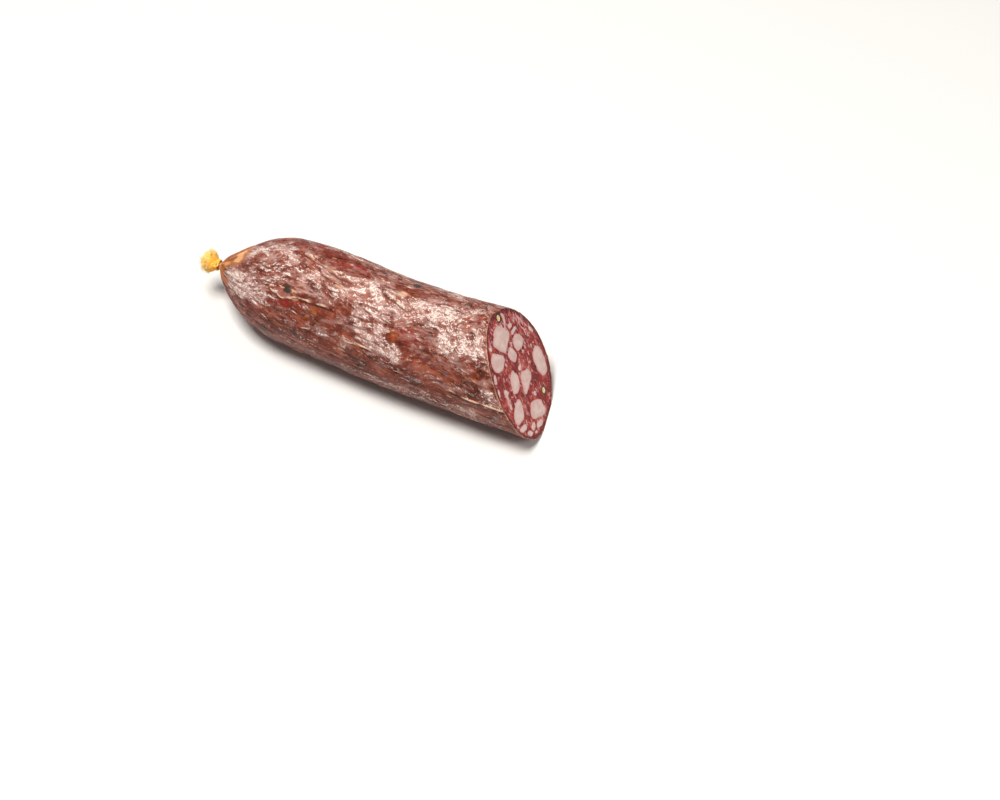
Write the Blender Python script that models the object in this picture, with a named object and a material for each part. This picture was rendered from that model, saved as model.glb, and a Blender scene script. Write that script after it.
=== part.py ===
"""A length of cured sausage, tied at one end and cut on the slant at the other.

It lies along X on the plane z = 0, with its tied end at -X and its cut end at +X.
The skin, the lean filling, every piece of fat and peppercorn that the cut lays bare,
the tie and its frayed ends are separate solids. Lengths in this file are millimetres.
"""

from math import cos, exp, pi, sin

import bmesh
import bpy
import numpy as np

MM = 0.001

# Where the sausage's axis meets the cut, so that the whole piece is centred on the origin
CUT_X = 68.2
CUT_Y = -1.4

# Thicknesses and gaps
CASING_WALL = 0.6
GAP = 0.3
RESTING_FLAT = 0.9      # how far the underside has settled flat

# Radius along the axis: (distance from the cut, radius)
NECK_X = -141.0
NECK_RADIUS = 1.8
RADIUS_KNOTS = (
    (NECK_X, NECK_RADIUS), (-138.0, 5.9), (-133.0, 10.5), (-126.0, 15.8), (-117.0, 20.1),
    (-105.0, 22.9), (-85.0, 23.5), (-50.0, 23.6), (0.0, 24.6), (14.0, 24.9),
)
# Sideways sweep of the axis: (distance from the cut, offset along Y)
SWEEP_KNOTS = ((NECK_X, 5.1), (-120.0, 4.1), (-95.0, 3.3), (-50.0, 0.2), (0.0, 0.0), (14.0, 0.0))
NECK_HEIGHT = 18.6
LIFT_START_X = -100.0   # from here to the neck the underside rises off the table
LIFT_POWER = 1.2

# The section is a soft rounded triangle: radius times 1 + these shares of two and three lobes
TWO_LOBES = (-0.017, -0.023)
THREE_LOBES = (0.012, -0.032)

# By the neck the far upper side slopes in flatter: depth, where along the axis, angle, and how far
# the slope reaches along and round
SLOPE_DEPTH = 1.7
SLOPE_X, SLOPE_LENGTH = -130.0, 8.5
SLOPE_ANGLE, SLOPE_SPREAD = 52 * pi / 180, 50 * pi / 180

# The cut leans back by 27 degrees and is turned 11 degrees to the side
CUT_LEAN = 27.4 * pi / 180
CUT_TURN = 10.9 * pi / 180
CUT_BLEND = 30.0        # the length over which the sections swing round to the cut

AROUND = 48             # sides of the body's sections
BODY_STATIONS = (
    -140.2, -139.2, -138.0, -135.8, -133.0, -129.8, -126.0, -121.8, -117.0, -111.4, -105.0,
    -98.0, -90.0, -80.0, -69.0, -57.0, -45.0, -34.0, -25.0, -16.0, -8.0, 0.0,
)
CAVITY_STATIONS = (-137.4, -135.8, -133.0, -129.8, -126.0, -121.8, -117.0, -111.4, -105.0,
                   -98.0, -90.0, -80.0, -69.0, -57.0, -45.0, -30.0, -15.0, 0.0)

# Tie: a few turns of twine round the neck, a knot, and the frayed ends
TWINE = 0.9
TURNS = 3
TURN_SIDES = 16
STUB_END_X = -144.7
TIE_X = -144.3
KNOT_ANGLE = 135 * pi / 180
KNOT_SIZE = (1.5, 1.2, 1.2)
# Frayed ends: (distance from the cut, radius)
TUFT_RINGS = ((-145.0, 1.8), (-145.7, 3.4), (-147.0, 4.5), (-148.6, 4.6), (-149.8, 3.4), (-150.2, 1.5))
TUFT_SIDES = 18

PEPPER_RADIUS = 2.2
CUT_PEPPERS = {"cut_peppercorn_1": (5.3, 20.7), "cut_peppercorn_2": (7.6, -16.2)}
# Whole peppercorns and a bit of fat just under the skin: (distance from the cut, degrees round)
SKIN_PEPPERS = {"skin_peppercorn_1": (-99.0, 130.0), "skin_peppercorn_2": (-49.5, 71.5)}
SKIN_FAT = {"skin_fat": (-52.0, 91.5)}
SKIN_FAT_SIZE = (2.6, 2.0, 1.3)

# Corners of each diced piece of fat on the cut, as (across, up) from the axis
FAT_CORNERS = (
    ((2.1, 20.1), (5.5, 15.7), (7.2, 12.9), (5.2, 12.3), (1.6, 11.8), (-2, 11.4), (-4.9, 14.5),
     (-7.1, 19.3), (-4.9, 20.3), (-0.8, 21.4)),
    ((-10.2, 18.3), (-7.3, 15.7), (-4.9, 12.4), (-4.9, 10.7), (-9.7, 10), (-13.5, 11.8), (-15.3, 15.3),
     (-13.7, 17.8), (-11.7, 18.6)),
    ((10, 9.5), (12, 8), (13.5, 4.5), (11.5, 3.5), (6, 4.5), (5, 8), (7, 10)),
    ((2.5, 10.1), (3.8, 7), (3.8, 4.8), (1, 4.5), (-1.2, 6), (-2, 9.6), (0, 10.3)),
    ((14, -3.5), (18, -3.5), (20, -5), (20.5, -8), (19.5, -12), (17, -15), (14.5, -14.5), (12.3, -13),
     (11.3, -9.5), (12, -5.5)),
    ((-6.5, 5), (-4.2, 5), (-3.8, 3), (-2.8, 1), (-4, -1), (-6, -2), (-9, -2.2), (-12, 0), (-10, 2.3),
     (-9, 4)),
    ((5, -3), (6, -5), (4.8, -7), (0, -7.2), (-4, -7.2), (-5.2, -5.8), (-3.8, -3.8), (-1.5, -0.4), (1, -1)),
    ((-11, -3.2), (-10, -5), (-11.5, -8), (-13.2, -9.8), (-17, -9.3), (-20, -7.8), (-20.8, -6), (-19.5, -4),
     (-14, -2.8)),
    ((3, -16.5), (2, -18.5), (2.5, -20.5), (0.5, -21), (-2, -20), (-5, -18), (-8.3, -15.8), (-9, -14),
     (-7, -12.2), (-5, -11.2), (-1, -13)),
    ((-18.2, -10.4), (-15.5, -11.6), (-15.2, -12.9), (-17, -13), (-19.2, -12), (-20.8, -10.2),
     (-21, -9.2)),
    ((8.2, 20.9), (9.2, 20.5), (9.8, 18.9), (8.4, 17.2), (6.6, 17), (7.9, 19)),
    ((8.3, 15.4), (11.2, 14), (11.2, 12.9), (8.2, 13.6)),
    ((8, 12), (12, 11.6), (13.2, 10.2), (10.5, 10.6), (8.2, 11)),
    ((20.5, 3.6), (22, 2.4), (22.4, 0.2), (21.3, 0.4), (20.3, 2.6)),
    ((-10.2, 21.2), (-9, 20.2), (-9.6, 19.2), (-11, 20.2)),
    ((-16.6, -14.5), (-14.9, -15.3), (-13.7, -17.4), (-15.1, -17.5), (-16.8, -16.2), (-17.5, -14.7)),
    ((-9.3, -16.2), (-10, -17.8), (-12, -17.8), (-13.3, -16.8), (-12.8, -15.6), (-11, -15.8)),
    ((-4, -20), (-3.4, -21.4), (-5.5, -21.4), (-8, -20), (-9.8, -19), (-8.2, -18.2)),
    ((-10.9, -19), (-10.8, -20.1), (-12.2, -19.3), (-12.6, -18.6)),
    ((-16.3, 13.8), (-16.8, 12), (-18.2, 10.9), (-19.2, 11.6), (-18.2, 13.2)),
    ((-19.3, 9.4), (-19.6, 8), (-20.4, 6.8), (-21, 7.2), (-20.5, 8.8)),
    ((-16, 6), (-14, 3), (-16, 3.2), (-17, 1), (-17.2, 3.2), (-17, 5)),
    ((-17.6, 0.8), (-17.2, -0.6), (-18.4, -1.7), (-18.8, -0.6)),
    ((-0.2, 2.2), (2.8, 1.6), (2.2, 0.6), (-0.4, 0.9)),
    ((1.4, -10.8), (2.2, -11.8), (1.4, -12.8), (0.2, -11.8)),
)
FAT_TAPER = 0.75        # a piece's buried end, as a share of its cut face
FAT_DEPTH_SHARE = 0.7   # how deep a piece goes, as a share of its width on the cut

# name: base colour, roughness
MATERIALS = {
    "casing": ((0.20, 0.060, 0.048), 0.45),
    "lean": ((0.34, 0.050, 0.045), 0.35),
    "fat": ((0.72, 0.50, 0.45), 0.40),
    "peppercorn": ((0.035, 0.030, 0.022), 0.60),
    "twine": ((0.75, 0.42, 0.12), 0.80),
}


def material(name):
    """The named Principled material, made once."""
    if name in bpy.data.materials:
        return bpy.data.materials[name]
    colour, roughness = MATERIALS[name]
    made = bpy.data.materials.new(name)
    made.use_nodes = True
    shader = made.node_tree.nodes["Principled BSDF"]
    shader.inputs["Base Color"].default_value = (*colour, 1.0)
    shader.inputs["Roughness"].default_value = roughness
    shader.inputs["Metallic"].default_value = 0.0
    return made


def smooth_between(knots, x):
    """A smooth curve through the knots that never overshoots them, read at x."""
    xs, ys = np.array(knots, float).T
    steps = np.diff(xs)
    slopes = np.diff(ys) / steps
    tangents = np.zeros(len(xs))
    for i in range(1, len(xs) - 1):
        if slopes[i - 1] * slopes[i] > 0:
            tangents[i] = 2 * slopes[i - 1] * slopes[i] / (slopes[i - 1] + slopes[i])
    tangents[0], tangents[-1] = slopes[0], slopes[-1]
    k = int(np.clip(np.searchsorted(xs, x) - 1, 0, len(steps) - 1))
    t = (x - xs[k]) / steps[k]
    return (
        ys[k] * (1 + 2 * t) * (1 - t) ** 2 + ys[k + 1] * t * t * (3 - 2 * t)
        + steps[k] * (tangents[k] * t * (1 - t) ** 2 - tangents[k + 1] * t * t * (1 - t))
    )


def lobes(angle):
    """How far the section stands out at this angle, as a share of its mean radius."""
    two = TWO_LOBES[0] * cos(2 * angle) + TWO_LOBES[1] * sin(2 * angle)
    three = THREE_LOBES[0] * cos(3 * angle) + THREE_LOBES[1] * sin(3 * angle)
    return 1 + two + three


def sloped_in(x, angle):
    """How much nearer the axis the surface lies on the sloping side by the neck."""
    turned = (angle - SLOPE_ANGLE + pi) % (2 * pi) - pi
    return SLOPE_DEPTH * exp(-(((x - SLOPE_X) / SLOPE_LENGTH) ** 2) - (turned / SLOPE_SPREAD) ** 2)


LOWEST_SHARE = max(-sin(a) * lobes(a) for a in np.linspace(pi, 2 * pi, 181))


def centre_of(x):
    """The axis at x, as (y, z): on the table along the body, rising or dropping to the neck."""
    y = smooth_between(SWEEP_KNOTS, x)
    resting = smooth_between(RADIUS_KNOTS, max(x, LIFT_START_X)) * LOWEST_SHARE - RESTING_FLAT
    towards_neck = max(0.0, (LIFT_START_X - x) / (LIFT_START_X - NECK_X)) ** LIFT_POWER
    return y, resting + (NECK_HEIGHT - resting) * min(1.0, towards_neck)


def cut_offset(across, up):
    """How far along X the cut lies ahead of the axis, for a point of the section."""
    return -(sin(CUT_TURN) * cos(CUT_LEAN) * across + sin(CUT_LEAN) * up) / (cos(CUT_TURN) * cos(CUT_LEAN))


AXIS_AT_CUT = centre_of(0.0)


def placed(x, y, z):
    return x + CUT_X, y + CUT_Y, z


def body_point(x, angle, inset):
    """A point of the body's surface, or of a surface that lies inset under it."""
    y, z = centre_of(x)
    radius = (smooth_between(RADIUS_KNOTS, x) - inset) * lobes(angle) - sloped_in(x, angle)
    y += radius * cos(angle)
    z += radius * sin(angle)
    return y, max(z, inset)


def body_ring(x, inset):
    """One section of the body; the sections near the cut swing round to lie in it."""
    share = max(0.0, 1 + x / CUT_BLEND)
    points = []
    for i in range(AROUND):
        angle = 2 * pi * i / AROUND
        y, z = body_point(x, angle, inset)
        cut_y, cut_z = body_point(0.0, angle, inset)
        along = x + share * cut_offset(cut_y - AXIS_AT_CUT[0], cut_z - AXIS_AT_CUT[1])
        points.append(placed(along, y, z))
    return points


def round_ring(x, radius, sides, centre):
    return [
        placed(x, centre[0] + radius * cos(2 * pi * i / sides), centre[1] + radius * sin(2 * pi * i / sides))
        for i in range(sides)
    ]


def link_mesh(name, mesh, material_name):
    made = bpy.data.objects.new(name, mesh)
    bpy.context.scene.collection.objects.link(made)
    mesh.materials.append(material(material_name))
    return made


def add_loft(bm, rings, closed=False):
    """Skins a row of rings with equal counts; the ends are capped, or joined when it is closed."""
    rows = [[bm.verts.new(np.array(p) * MM) for p in ring] for ring in rings]
    pairs = list(zip(rows, rows[1:]))
    if closed:
        pairs.append((rows[-1], rows[0]))
    for low, high in pairs:
        count = len(low)
        for i in range(count):
            j = (i + 1) % count
            bm.faces.new((low[i], low[j], high[j], high[i]))
    if not closed:
        bm.faces.new(rows[0])
        bm.faces.new(rows[-1])


def finish_mesh(bm, name):
    """Closes the bmesh into a mesh with its faces pointing out, shaded smooth over gentle edges."""
    bm.normal_update()
    bmesh.ops.recalc_face_normals(bm, faces=bm.faces)
    mesh = bpy.data.meshes.new(name)
    bm.to_mesh(mesh)
    bm.free()
    mesh.shade_smooth()
    mesh.set_sharp_from_angle(angle=35 * pi / 180)
    return mesh


def loft_object(name, rings, material_name, closed=False):
    bm = bmesh.new()
    add_loft(bm, rings, closed)
    return link_mesh(name, finish_mesh(bm, name), material_name)


def casing():
    """The skin: open at the cut, closed where it is gathered, with a short stub past the tie."""
    neck = centre_of(NECK_X)
    outside = [round_ring(x, NECK_RADIUS, AROUND, neck) for x in (STUB_END_X, NECK_X)]
    outside += [body_ring(x, 0.0) for x in BODY_STATIONS]
    inside = [body_ring(x, CASING_WALL) for x in reversed(CAVITY_STATIONS)]
    return loft_object("casing", outside + inside, "casing")


def filling():
    """The lean filling: one bound mass that carries the pockets of the fat and the peppercorns."""
    inset = CASING_WALL + GAP
    stations = (CAVITY_STATIONS[0] + GAP,) + CAVITY_STATIONS[1:]
    return loft_object("filling", [body_ring(x, inset) for x in stations], "lean")


def rounded(corners):
    """The corners' outline with each corner cut once, so no arris stays sharp."""
    points = np.array(corners, float)
    following = np.roll(points, -1, axis=0)
    return np.stack([0.75 * points + 0.25 * following, 0.25 * points + 0.75 * following], 1).reshape(-1, 2)


def grown(outline, by):
    """The outline moved outwards by a distance, along the normals at its points."""
    along = np.roll(outline, -1, axis=0) - np.roll(outline, 1, axis=0)
    normals = np.stack([along[:, 1], -along[:, 0]], 1)
    normals /= np.linalg.norm(normals, axis=1)[:, None]
    x, y = outline.T
    if np.sum(x * np.roll(y, -1) - np.roll(x, -1) * y) < 0:
        normals = -normals
    return outline + by * normals


def diced_rings(corners, grow=0.0, ahead=0.0):
    """Rings of one diced piece, from the cut back into the filling along the axis."""
    outline = grown(rounded(corners), grow)
    middle = outline.mean(axis=0)
    width = np.sqrt(np.prod(np.ptp(rounded(corners), axis=0)))
    depth = FAT_DEPTH_SHARE * width + grow
    rings = []
    for share, back in ((1.0, -ahead), (1.0, 0.45 * depth), (FAT_TAPER, depth)):
        rings.append([
            placed(cut_offset(a, u) - back, AXIS_AT_CUT[0] + a, AXIS_AT_CUT[1] + u)
            for a, u in middle + (outline - middle) * share
        ])
    return rings


def half_pepper_rings(place, grow=0.0, ahead=0.0):
    """Rings of a halved peppercorn whose flat side lies in the cut."""
    across = np.array((-sin(CUT_TURN), cos(CUT_TURN), 0.0))
    normal = np.array((cos(CUT_TURN) * cos(CUT_LEAN), sin(CUT_TURN) * cos(CUT_LEAN), sin(CUT_LEAN)))
    up = np.cross(normal, across)
    middle = np.array(placed(cut_offset(*place), AXIS_AT_CUT[0] + place[0], AXIS_AT_CUT[1] + place[1]))
    radius = PEPPER_RADIUS + grow
    levels = [(radius, ahead)] if ahead else []
    levels += [(radius * cos(t), -radius * sin(t)) for t in (0.0, 0.5, 0.95, 1.3)]
    turns = [2 * pi * i / TURN_SIDES for i in range(TURN_SIDES)]
    return [
        [middle + r * (across * cos(turn) + up * sin(turn)) + normal * out for turn in turns]
        for r, out in levels
    ]


def add_ball(bm, spot, size, grow=0.0):
    """An oval ball that touches the filling's surface from inside at (x, degrees round)."""
    x, degrees = spot
    angle = degrees * pi / 180
    y, z = centre_of(x)
    depth = CASING_WALL + GAP + size[2]
    distance = smooth_between(RADIUS_KNOTS, x) * lobes(angle) - depth
    ball = bmesh.ops.create_icosphere(bm, subdivisions=2, radius=1.0)["verts"]
    outward = np.array((0.0, cos(angle), sin(angle)))
    around = np.array((0.0, -sin(angle), cos(angle)))
    middle = np.array(placed(x, y, z)) + outward * distance
    for vertex in ball:
        a, b, c = vertex.co
        local = np.array((a * (size[0] + grow), 0.0, 0.0))
        vertex.co = (middle + local + around * b * (size[1] + grow) + outward * c * (size[2] + grow)) * MM


def ball_object(name, spot, size, material_name):
    bm = bmesh.new()
    add_ball(bm, spot, size)
    return link_mesh(name, finish_mesh(bm, name), material_name)


def pocket_cutter():
    """Every pocket in one hidden cutter, each a gap wider than the piece that it holds."""
    bm = bmesh.new()
    for corners in FAT_CORNERS:
        add_loft(bm, diced_rings(corners, GAP, ahead=1.0))
    for place in CUT_PEPPERS.values():
        add_loft(bm, half_pepper_rings(place, GAP, ahead=1.0))
    for spot in SKIN_PEPPERS.values():
        add_ball(bm, spot, (PEPPER_RADIUS,) * 3, GAP)
    for spot in SKIN_FAT.values():
        add_ball(bm, spot, SKIN_FAT_SIZE, GAP)
    cutter = link_mesh("pocket_cutter", finish_mesh(bm, "pocket_cutter"), "lean")
    hide_helper(cutter)
    return cutter


def hide_helper(helper):
    helper.hide_render = True
    helper.display_type = "WIRE"


def add_boolean(target, helper, operation):
    modifier = target.modifiers.new(operation.lower(), "BOOLEAN")
    modifier.operation = operation
    modifier.object = helper
    modifier.solver = "EXACT"


def tie_string():
    """Turns of twine side by side round the neck, with a knot on them."""
    neck = centre_of(NECK_X)
    inner = NECK_RADIUS + GAP
    profile = [(TIE_X + TURNS * TWINE, inner), (TIE_X, inner)]
    for turn in range(TURNS):
        middle = TIE_X + (turn + 0.5) * TWINE
        for step in range(5):
            angle = pi * (1 - (step + 0.5) / 5)
            profile.append((middle + 0.5 * TWINE * cos(angle), inner + 0.5 * TWINE * (1 + sin(angle))))
    rings = [round_ring(x, radius, TURN_SIDES, neck) for x, radius in profile]
    string = loft_object("tie_string", rings, "twine", closed=True)

    bm = bmesh.new()
    knot = bmesh.ops.create_icosphere(bm, subdivisions=2, radius=1.0)["verts"]
    distance = inner + TWINE + 0.2
    middle = np.array(placed(TIE_X + 0.5 * TURNS * TWINE, neck[0], neck[1]))
    middle += distance * np.array((0.0, cos(KNOT_ANGLE), sin(KNOT_ANGLE)))
    for vertex in knot:
        vertex.co = (middle + np.array(vertex.co) * KNOT_SIZE) * MM
    helper = link_mesh("knot_helper", finish_mesh(bm, "knot_helper"), "twine")
    hide_helper(helper)
    add_boolean(string, helper, "UNION")
    return string


def string_tuft():
    """The envelope of the string's frayed ends, which fan out behind the tie."""
    neck = centre_of(NECK_X)
    rings = [round_ring(x, radius, TUFT_SIDES, neck) for x, radius in TUFT_RINGS]
    return loft_object("string_tuft", rings, "twine")


def main():
    for old in list(bpy.data.objects):
        bpy.data.objects.remove(old, do_unlink=True)
    parts = [casing(), filling()]
    add_boolean(parts[1], pocket_cutter(), "DIFFERENCE")
    for number, corners in enumerate(FAT_CORNERS, start=1):
        parts.append(loft_object(f"fat_{number:02d}", diced_rings(corners), "fat"))
    for name, place in CUT_PEPPERS.items():
        parts.append(loft_object(name, half_pepper_rings(place), "peppercorn"))
    for name, spot in SKIN_PEPPERS.items():
        parts.append(ball_object(name, spot, (PEPPER_RADIUS,) * 3, "peppercorn"))
    for name, spot in SKIN_FAT.items():
        parts.append(ball_object(name, spot, SKIN_FAT_SIZE, "fat"))
    parts += [tie_string(), string_tuft()]
    whole = bpy.data.objects.new("cured_sausage", None)
    bpy.context.scene.collection.objects.link(whole)
    for part in parts:
        part.parent = whole


main()
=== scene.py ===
"""The looks of a cured sausage: tied at one end, cut on the slant at the other.

The skin, the lean, the fat, the peppercorns and the tie are built here in fine mesh code over the
CAD frame. Lengths are millimetres until a mesh is made. A place on the body is given by its
distance from the cut (negative towards the neck) and by its angle round the body: 0 is the far
side, 90 the top, 180 the near side and 270 the underside.
"""

from functools import lru_cache

import bpy
import numpy as np
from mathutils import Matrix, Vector


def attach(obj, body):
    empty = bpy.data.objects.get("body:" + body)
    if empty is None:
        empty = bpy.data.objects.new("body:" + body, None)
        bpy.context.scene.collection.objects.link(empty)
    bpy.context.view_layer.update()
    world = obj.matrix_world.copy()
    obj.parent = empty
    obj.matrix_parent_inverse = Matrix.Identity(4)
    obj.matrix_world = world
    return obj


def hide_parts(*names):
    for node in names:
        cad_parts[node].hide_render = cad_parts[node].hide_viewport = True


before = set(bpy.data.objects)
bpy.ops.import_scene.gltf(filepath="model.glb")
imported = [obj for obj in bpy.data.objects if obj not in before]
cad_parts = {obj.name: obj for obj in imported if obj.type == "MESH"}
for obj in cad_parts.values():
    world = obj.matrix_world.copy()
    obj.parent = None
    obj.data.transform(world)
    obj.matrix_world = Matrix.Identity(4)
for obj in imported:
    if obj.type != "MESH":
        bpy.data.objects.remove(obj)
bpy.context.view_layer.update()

MM = 0.001
TURN = 2 * np.pi
RADIAN = 57.3           # in degrees

# ---- The body's driving dimensions, as the CAD has them

CUT_X, CUT_Y = 68.2, -1.4
NECK_X, STUB_END_X, NECK_RADIUS, NECK_HEIGHT = -141.0, -144.7, 1.8, 18.6
RESTING_FLAT = 0.9
RADIUS_KNOTS = (
    (NECK_X, NECK_RADIUS), (-138.0, 5.9), (-133.0, 10.5), (-126.0, 15.8), (-117.0, 20.1),
    (-105.0, 22.9), (-85.0, 23.5), (-50.0, 23.6), (0.0, 24.6), (14.0, 24.9),
)
SWEEP_KNOTS = ((NECK_X, 5.1), (-120.0, 4.1), (-95.0, 3.3), (-50.0, 0.2), (0.0, 0.0), (14.0, 0.0))
LIFT_START_X, LIFT_POWER = -100.0, 1.2
TWO_LOBES = (-0.017, -0.023)
THREE_LOBES = (0.012, -0.032)
SLOPE_DEPTH, SLOPE_X, SLOPE_LENGTH = 1.7, -130.0, 8.5
SLOPE_ANGLE, SLOPE_SPREAD = np.radians(52), np.radians(50)
CUT_LEAN, CUT_TURN = np.radians(27.4), np.radians(10.9)
CUT_BLEND = 30.0
SKIN_RADIUS = 24.0      # the body's usual radius, which turns an angle into a length round it

PEPPER_RADIUS = 2.2
CUT_PEPPERS = {"cut_peppercorn_1": (5.5, 21.5), "cut_peppercorn_2": (7.7, -16.3)}
CUT_PEPPER_RADIUS = 2.05
SKIN_PEPPERS = {"skin_peppercorn_1": (-99.0, 130.0), "skin_peppercorn_2": (-49.5, 71.5)}
SKIN_FAT = (-52.0, 91.5)
SKIN_FAT_SIZE = (2.6, 2.0, 1.3)

# Corners of each diced piece of fat on the cut, as (across, up) from the axis
FAT_CORNERS = (
    ((2.8, 20.3), (5.9, 16.1), (7.2, 12.9), (5.2, 12.3), (1.6, 11.8), (-2, 11.4), (-4.9, 14.5),
     (-7.1, 19.3), (-4.9, 20.3), (-0.8, 21.4)),
    ((-10.2, 18.3), (-7.3, 15.7), (-4.9, 12.4), (-4.9, 10.7), (-9.7, 10), (-13.5, 11.8), (-15.3, 15.3),
     (-13.7, 17.8), (-11.7, 18.6)),
    ((10, 9.5), (12, 8), (13.5, 4.5), (11.5, 3.5), (6, 4.5), (5, 8), (7, 10)),
    ((2.5, 10.1), (3.8, 7), (3.8, 4.8), (1, 4.5), (-1.2, 6), (-2, 9.6), (0, 10.3)),
    ((14, -3.5), (18, -3.5), (20, -5), (20.5, -8), (19.5, -12), (17, -15), (14.5, -14.5), (12.3, -13),
     (11.3, -9.5), (12, -5.5)),
    ((-6.5, 5), (-4.2, 5), (-3.8, 3), (-2.8, 1), (-4, -1), (-6, -2), (-9, -2.2), (-12, 0), (-10, 2.3),
     (-9, 4)),
    ((5, -3), (6, -5), (4.8, -7), (0, -7.2), (-4, -7.2), (-5.2, -5.8), (-3.8, -3.8), (-1.5, -0.4), (1, -1)),
    ((-11, -3.2), (-10, -5), (-11.5, -8), (-13.2, -9.8), (-17, -9.3), (-20, -7.8), (-20.8, -6), (-19.5, -4),
     (-14, -2.8)),
    ((3, -16.5), (2, -18.5), (2.5, -20.5), (0.5, -21), (-2, -20), (-5, -18), (-8.3, -15.8), (-9, -14),
     (-7, -12.2), (-5, -11.2), (-1, -13)),
    ((-18.2, -10.4), (-15.5, -11.6), (-15.2, -12.9), (-17, -13), (-19.2, -12), (-20.8, -10.2), (-21, -9.2)),
    ((8.2, 20.9), (9.2, 20.5), (9.8, 18.9), (8.4, 17.2), (6.6, 17), (7.9, 19)),
    ((8.3, 15.4), (11.2, 14), (11.2, 12.9), (8.2, 13.6)),
    ((8, 12), (12, 11.6), (13.2, 10.2), (10.5, 10.6), (8.2, 11)),
    ((20.5, 3.6), (22, 2.4), (22.4, 0.2), (21.3, 0.4), (20.3, 2.6)),
    ((-10.2, 21.2), (-9, 20.2), (-9.6, 19.2), (-11, 20.2)),
    ((-16.6, -14.5), (-14.9, -15.3), (-13.7, -17.4), (-15.1, -17.5), (-16.8, -16.2), (-17.5, -14.7)),
    ((-9.3, -16.2), (-10, -17.8), (-12, -17.8), (-13.3, -16.8), (-12.8, -15.6), (-11, -15.8)),
    ((-4, -20), (-3.4, -21.4), (-5.5, -21.4), (-8, -20), (-9.8, -19), (-8.2, -18.2)),
    ((-10.9, -19), (-10.8, -20.1), (-12.2, -19.3), (-12.6, -18.6)),
    ((-16.3, 13.8), (-16.8, 12), (-18.2, 10.9), (-19.2, 11.6), (-18.2, 13.2)),
    ((-19.3, 9.4), (-19.6, 8), (-20.4, 6.8), (-21, 7.2), (-20.5, 8.8)),
    ((-16, 6), (-14, 3), (-16, 3.2), (-17, 1), (-17.2, 3.2), (-17, 5)),
    ((-17.6, 0.8), (-17.2, -0.6), (-18.4, -1.7), (-18.8, -0.6)),
    ((-0.2, 2.2), (2.8, 1.6), (2.2, 0.6), (-0.4, 0.9)),
    ((1.4, -10.8), (2.2, -11.8), (1.4, -12.8), (0.2, -11.8)),
)

# ---- What lies on the skin, at (distance from the cut, degrees round)

# Cream folds of the gut: their points, height and half-width
FOLDS = (
    (((-112, 129), (-106, 136), (-101, 139), (-93, 135), (-84, 132), (-76, 131)), 0.60, 0.45),
    (((-118, 108), (-112, 111), (-107, 115)), 0.26, 0.45),
    (((-101, 86), (-96, 90), (-90, 94), (-80, 99), (-71, 100)), 0.42, 0.60),
    (((-92, 97), (-86, 104), (-79, 107), (-71, 112)), 0.30, 0.45),
    (((-74, 163), (-69, 158), (-64, 156), (-54, 157)), 0.65, 0.45),
    (((-48, 160), (-44, 168), (-39, 174)), 0.32, 0.45),
    (((-62, 94), (-54, 100), (-48, 103), (-42, 104)), 0.38, 0.50),
    (((-24, 171), (-16, 173), (-10, 174), (0, 174)), 0.62, 0.60),
    (((-84, 63), (-76, 62), (-66, 58), (-58, 61), (-50, 60)), 0.35, 0.50),
    (((-43, 112), (-34, 116), (-26, 117)), 0.28, 0.40),
    (((-35, 84), (-27, 88), (-16, 90)), 0.26, 0.40),
    (((-95, 176), (-82, 183), (-66, 186), (-52, 186)), 0.30, 0.50),
)

# Bloom, and what lies bare of it: (x, degrees, half-length, half-width, amount)
BLOOM = (
    (-130, 134, 5, 3.0, 1.1), (-122, 144, 7, 4.0, 1.3), (-114, 155, 6, 4.0, 0.8), (-126, 158, 6, 4.0, 0.6),
    (-124, 98, 6, 2.5, 0.55), (-118, 91, 7, 2.5, 0.7), (-110, 82, 7, 2.5, 0.50), (-104, 95, 6, 3.0, 0.3),
    (-81, 61, 6, 2.5, 0.6), (-69, 102, 7, 4.5, 0.6), (-60, 125, 7, 10.0, 0.42), (-64, 148, 7, 6.0, 0.20),
    (-48, 104, 9, 4.5, 0.65), (-38, 100, 9, 5.0, 0.55), (-26, 97, 8, 4.0, 0.7), (-54, 76, 5, 2.5, 0.35),
    (-25, 124, 7, 5.0, 0.8), (-16, 123, 8, 5.0, 0.35), (-9, 125, 7, 5.0, 0.7), (-26, 67, 8, 4.0, 0.55),
    (-5, 160, 5, 5.0, 0.6), (-83, 164, 9, 6.0, 0.35), (-32, 170, 8, 5.0, 0.4), (-47, 150, 7, 7.0, 0.6),
    (-10, 78, 8, 4.0, 0.3), (-4, 108, 4, 4.0, 0.4), (-36, 60, 6, 3.0, 0.3),
    (-108, 118, 9, 6.0, 0.35), (-90, 110, 8, 6.0, 0.25), (-77, 97, 6, 3.5, 0.30), (-5, 173, 5, 3.5, 0.35),
    # The patches along the bottom, at 192 to 200 degrees, are partly bloom and partly painted light
    # reflected up from the table.
    (-88, 192, 12, 5.0, 0.10), (-64, 196, 12, 5.0, 0.30), (-42, 200, 12, 5.0, 0.60),
    (-18, 197, 12, 5.0, 0.70),
)
BARE = (
    (-75, 80, 6, 3.0, 0.7), (-97, 144, 7, 4.5, 0.55), (-86, 141, 5, 3.5, 0.6), (-76, 143, 8, 5.5, 0.6),
    (-43, 130, 8, 4.5, 0.9), (-35, 153, 9, 7.0, 0.7), (-12, 148, 9, 5.0, 0.8), (-116, 165, 7, 5.0, 0.3),
    (-94, 70, 17, 4.5, 0.6), (-18, 53, 15, 4.5, 0.4), (-94, 158, 14, 4.5, 0.30), (-86, 182, 20, 5.0, 0.30),
    (-110, 192, 10, 7.0, 0.35), (-50, 84, 5, 3.0, 0.4), (-22, 180, 10, 3.0, 0.3),
)
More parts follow.
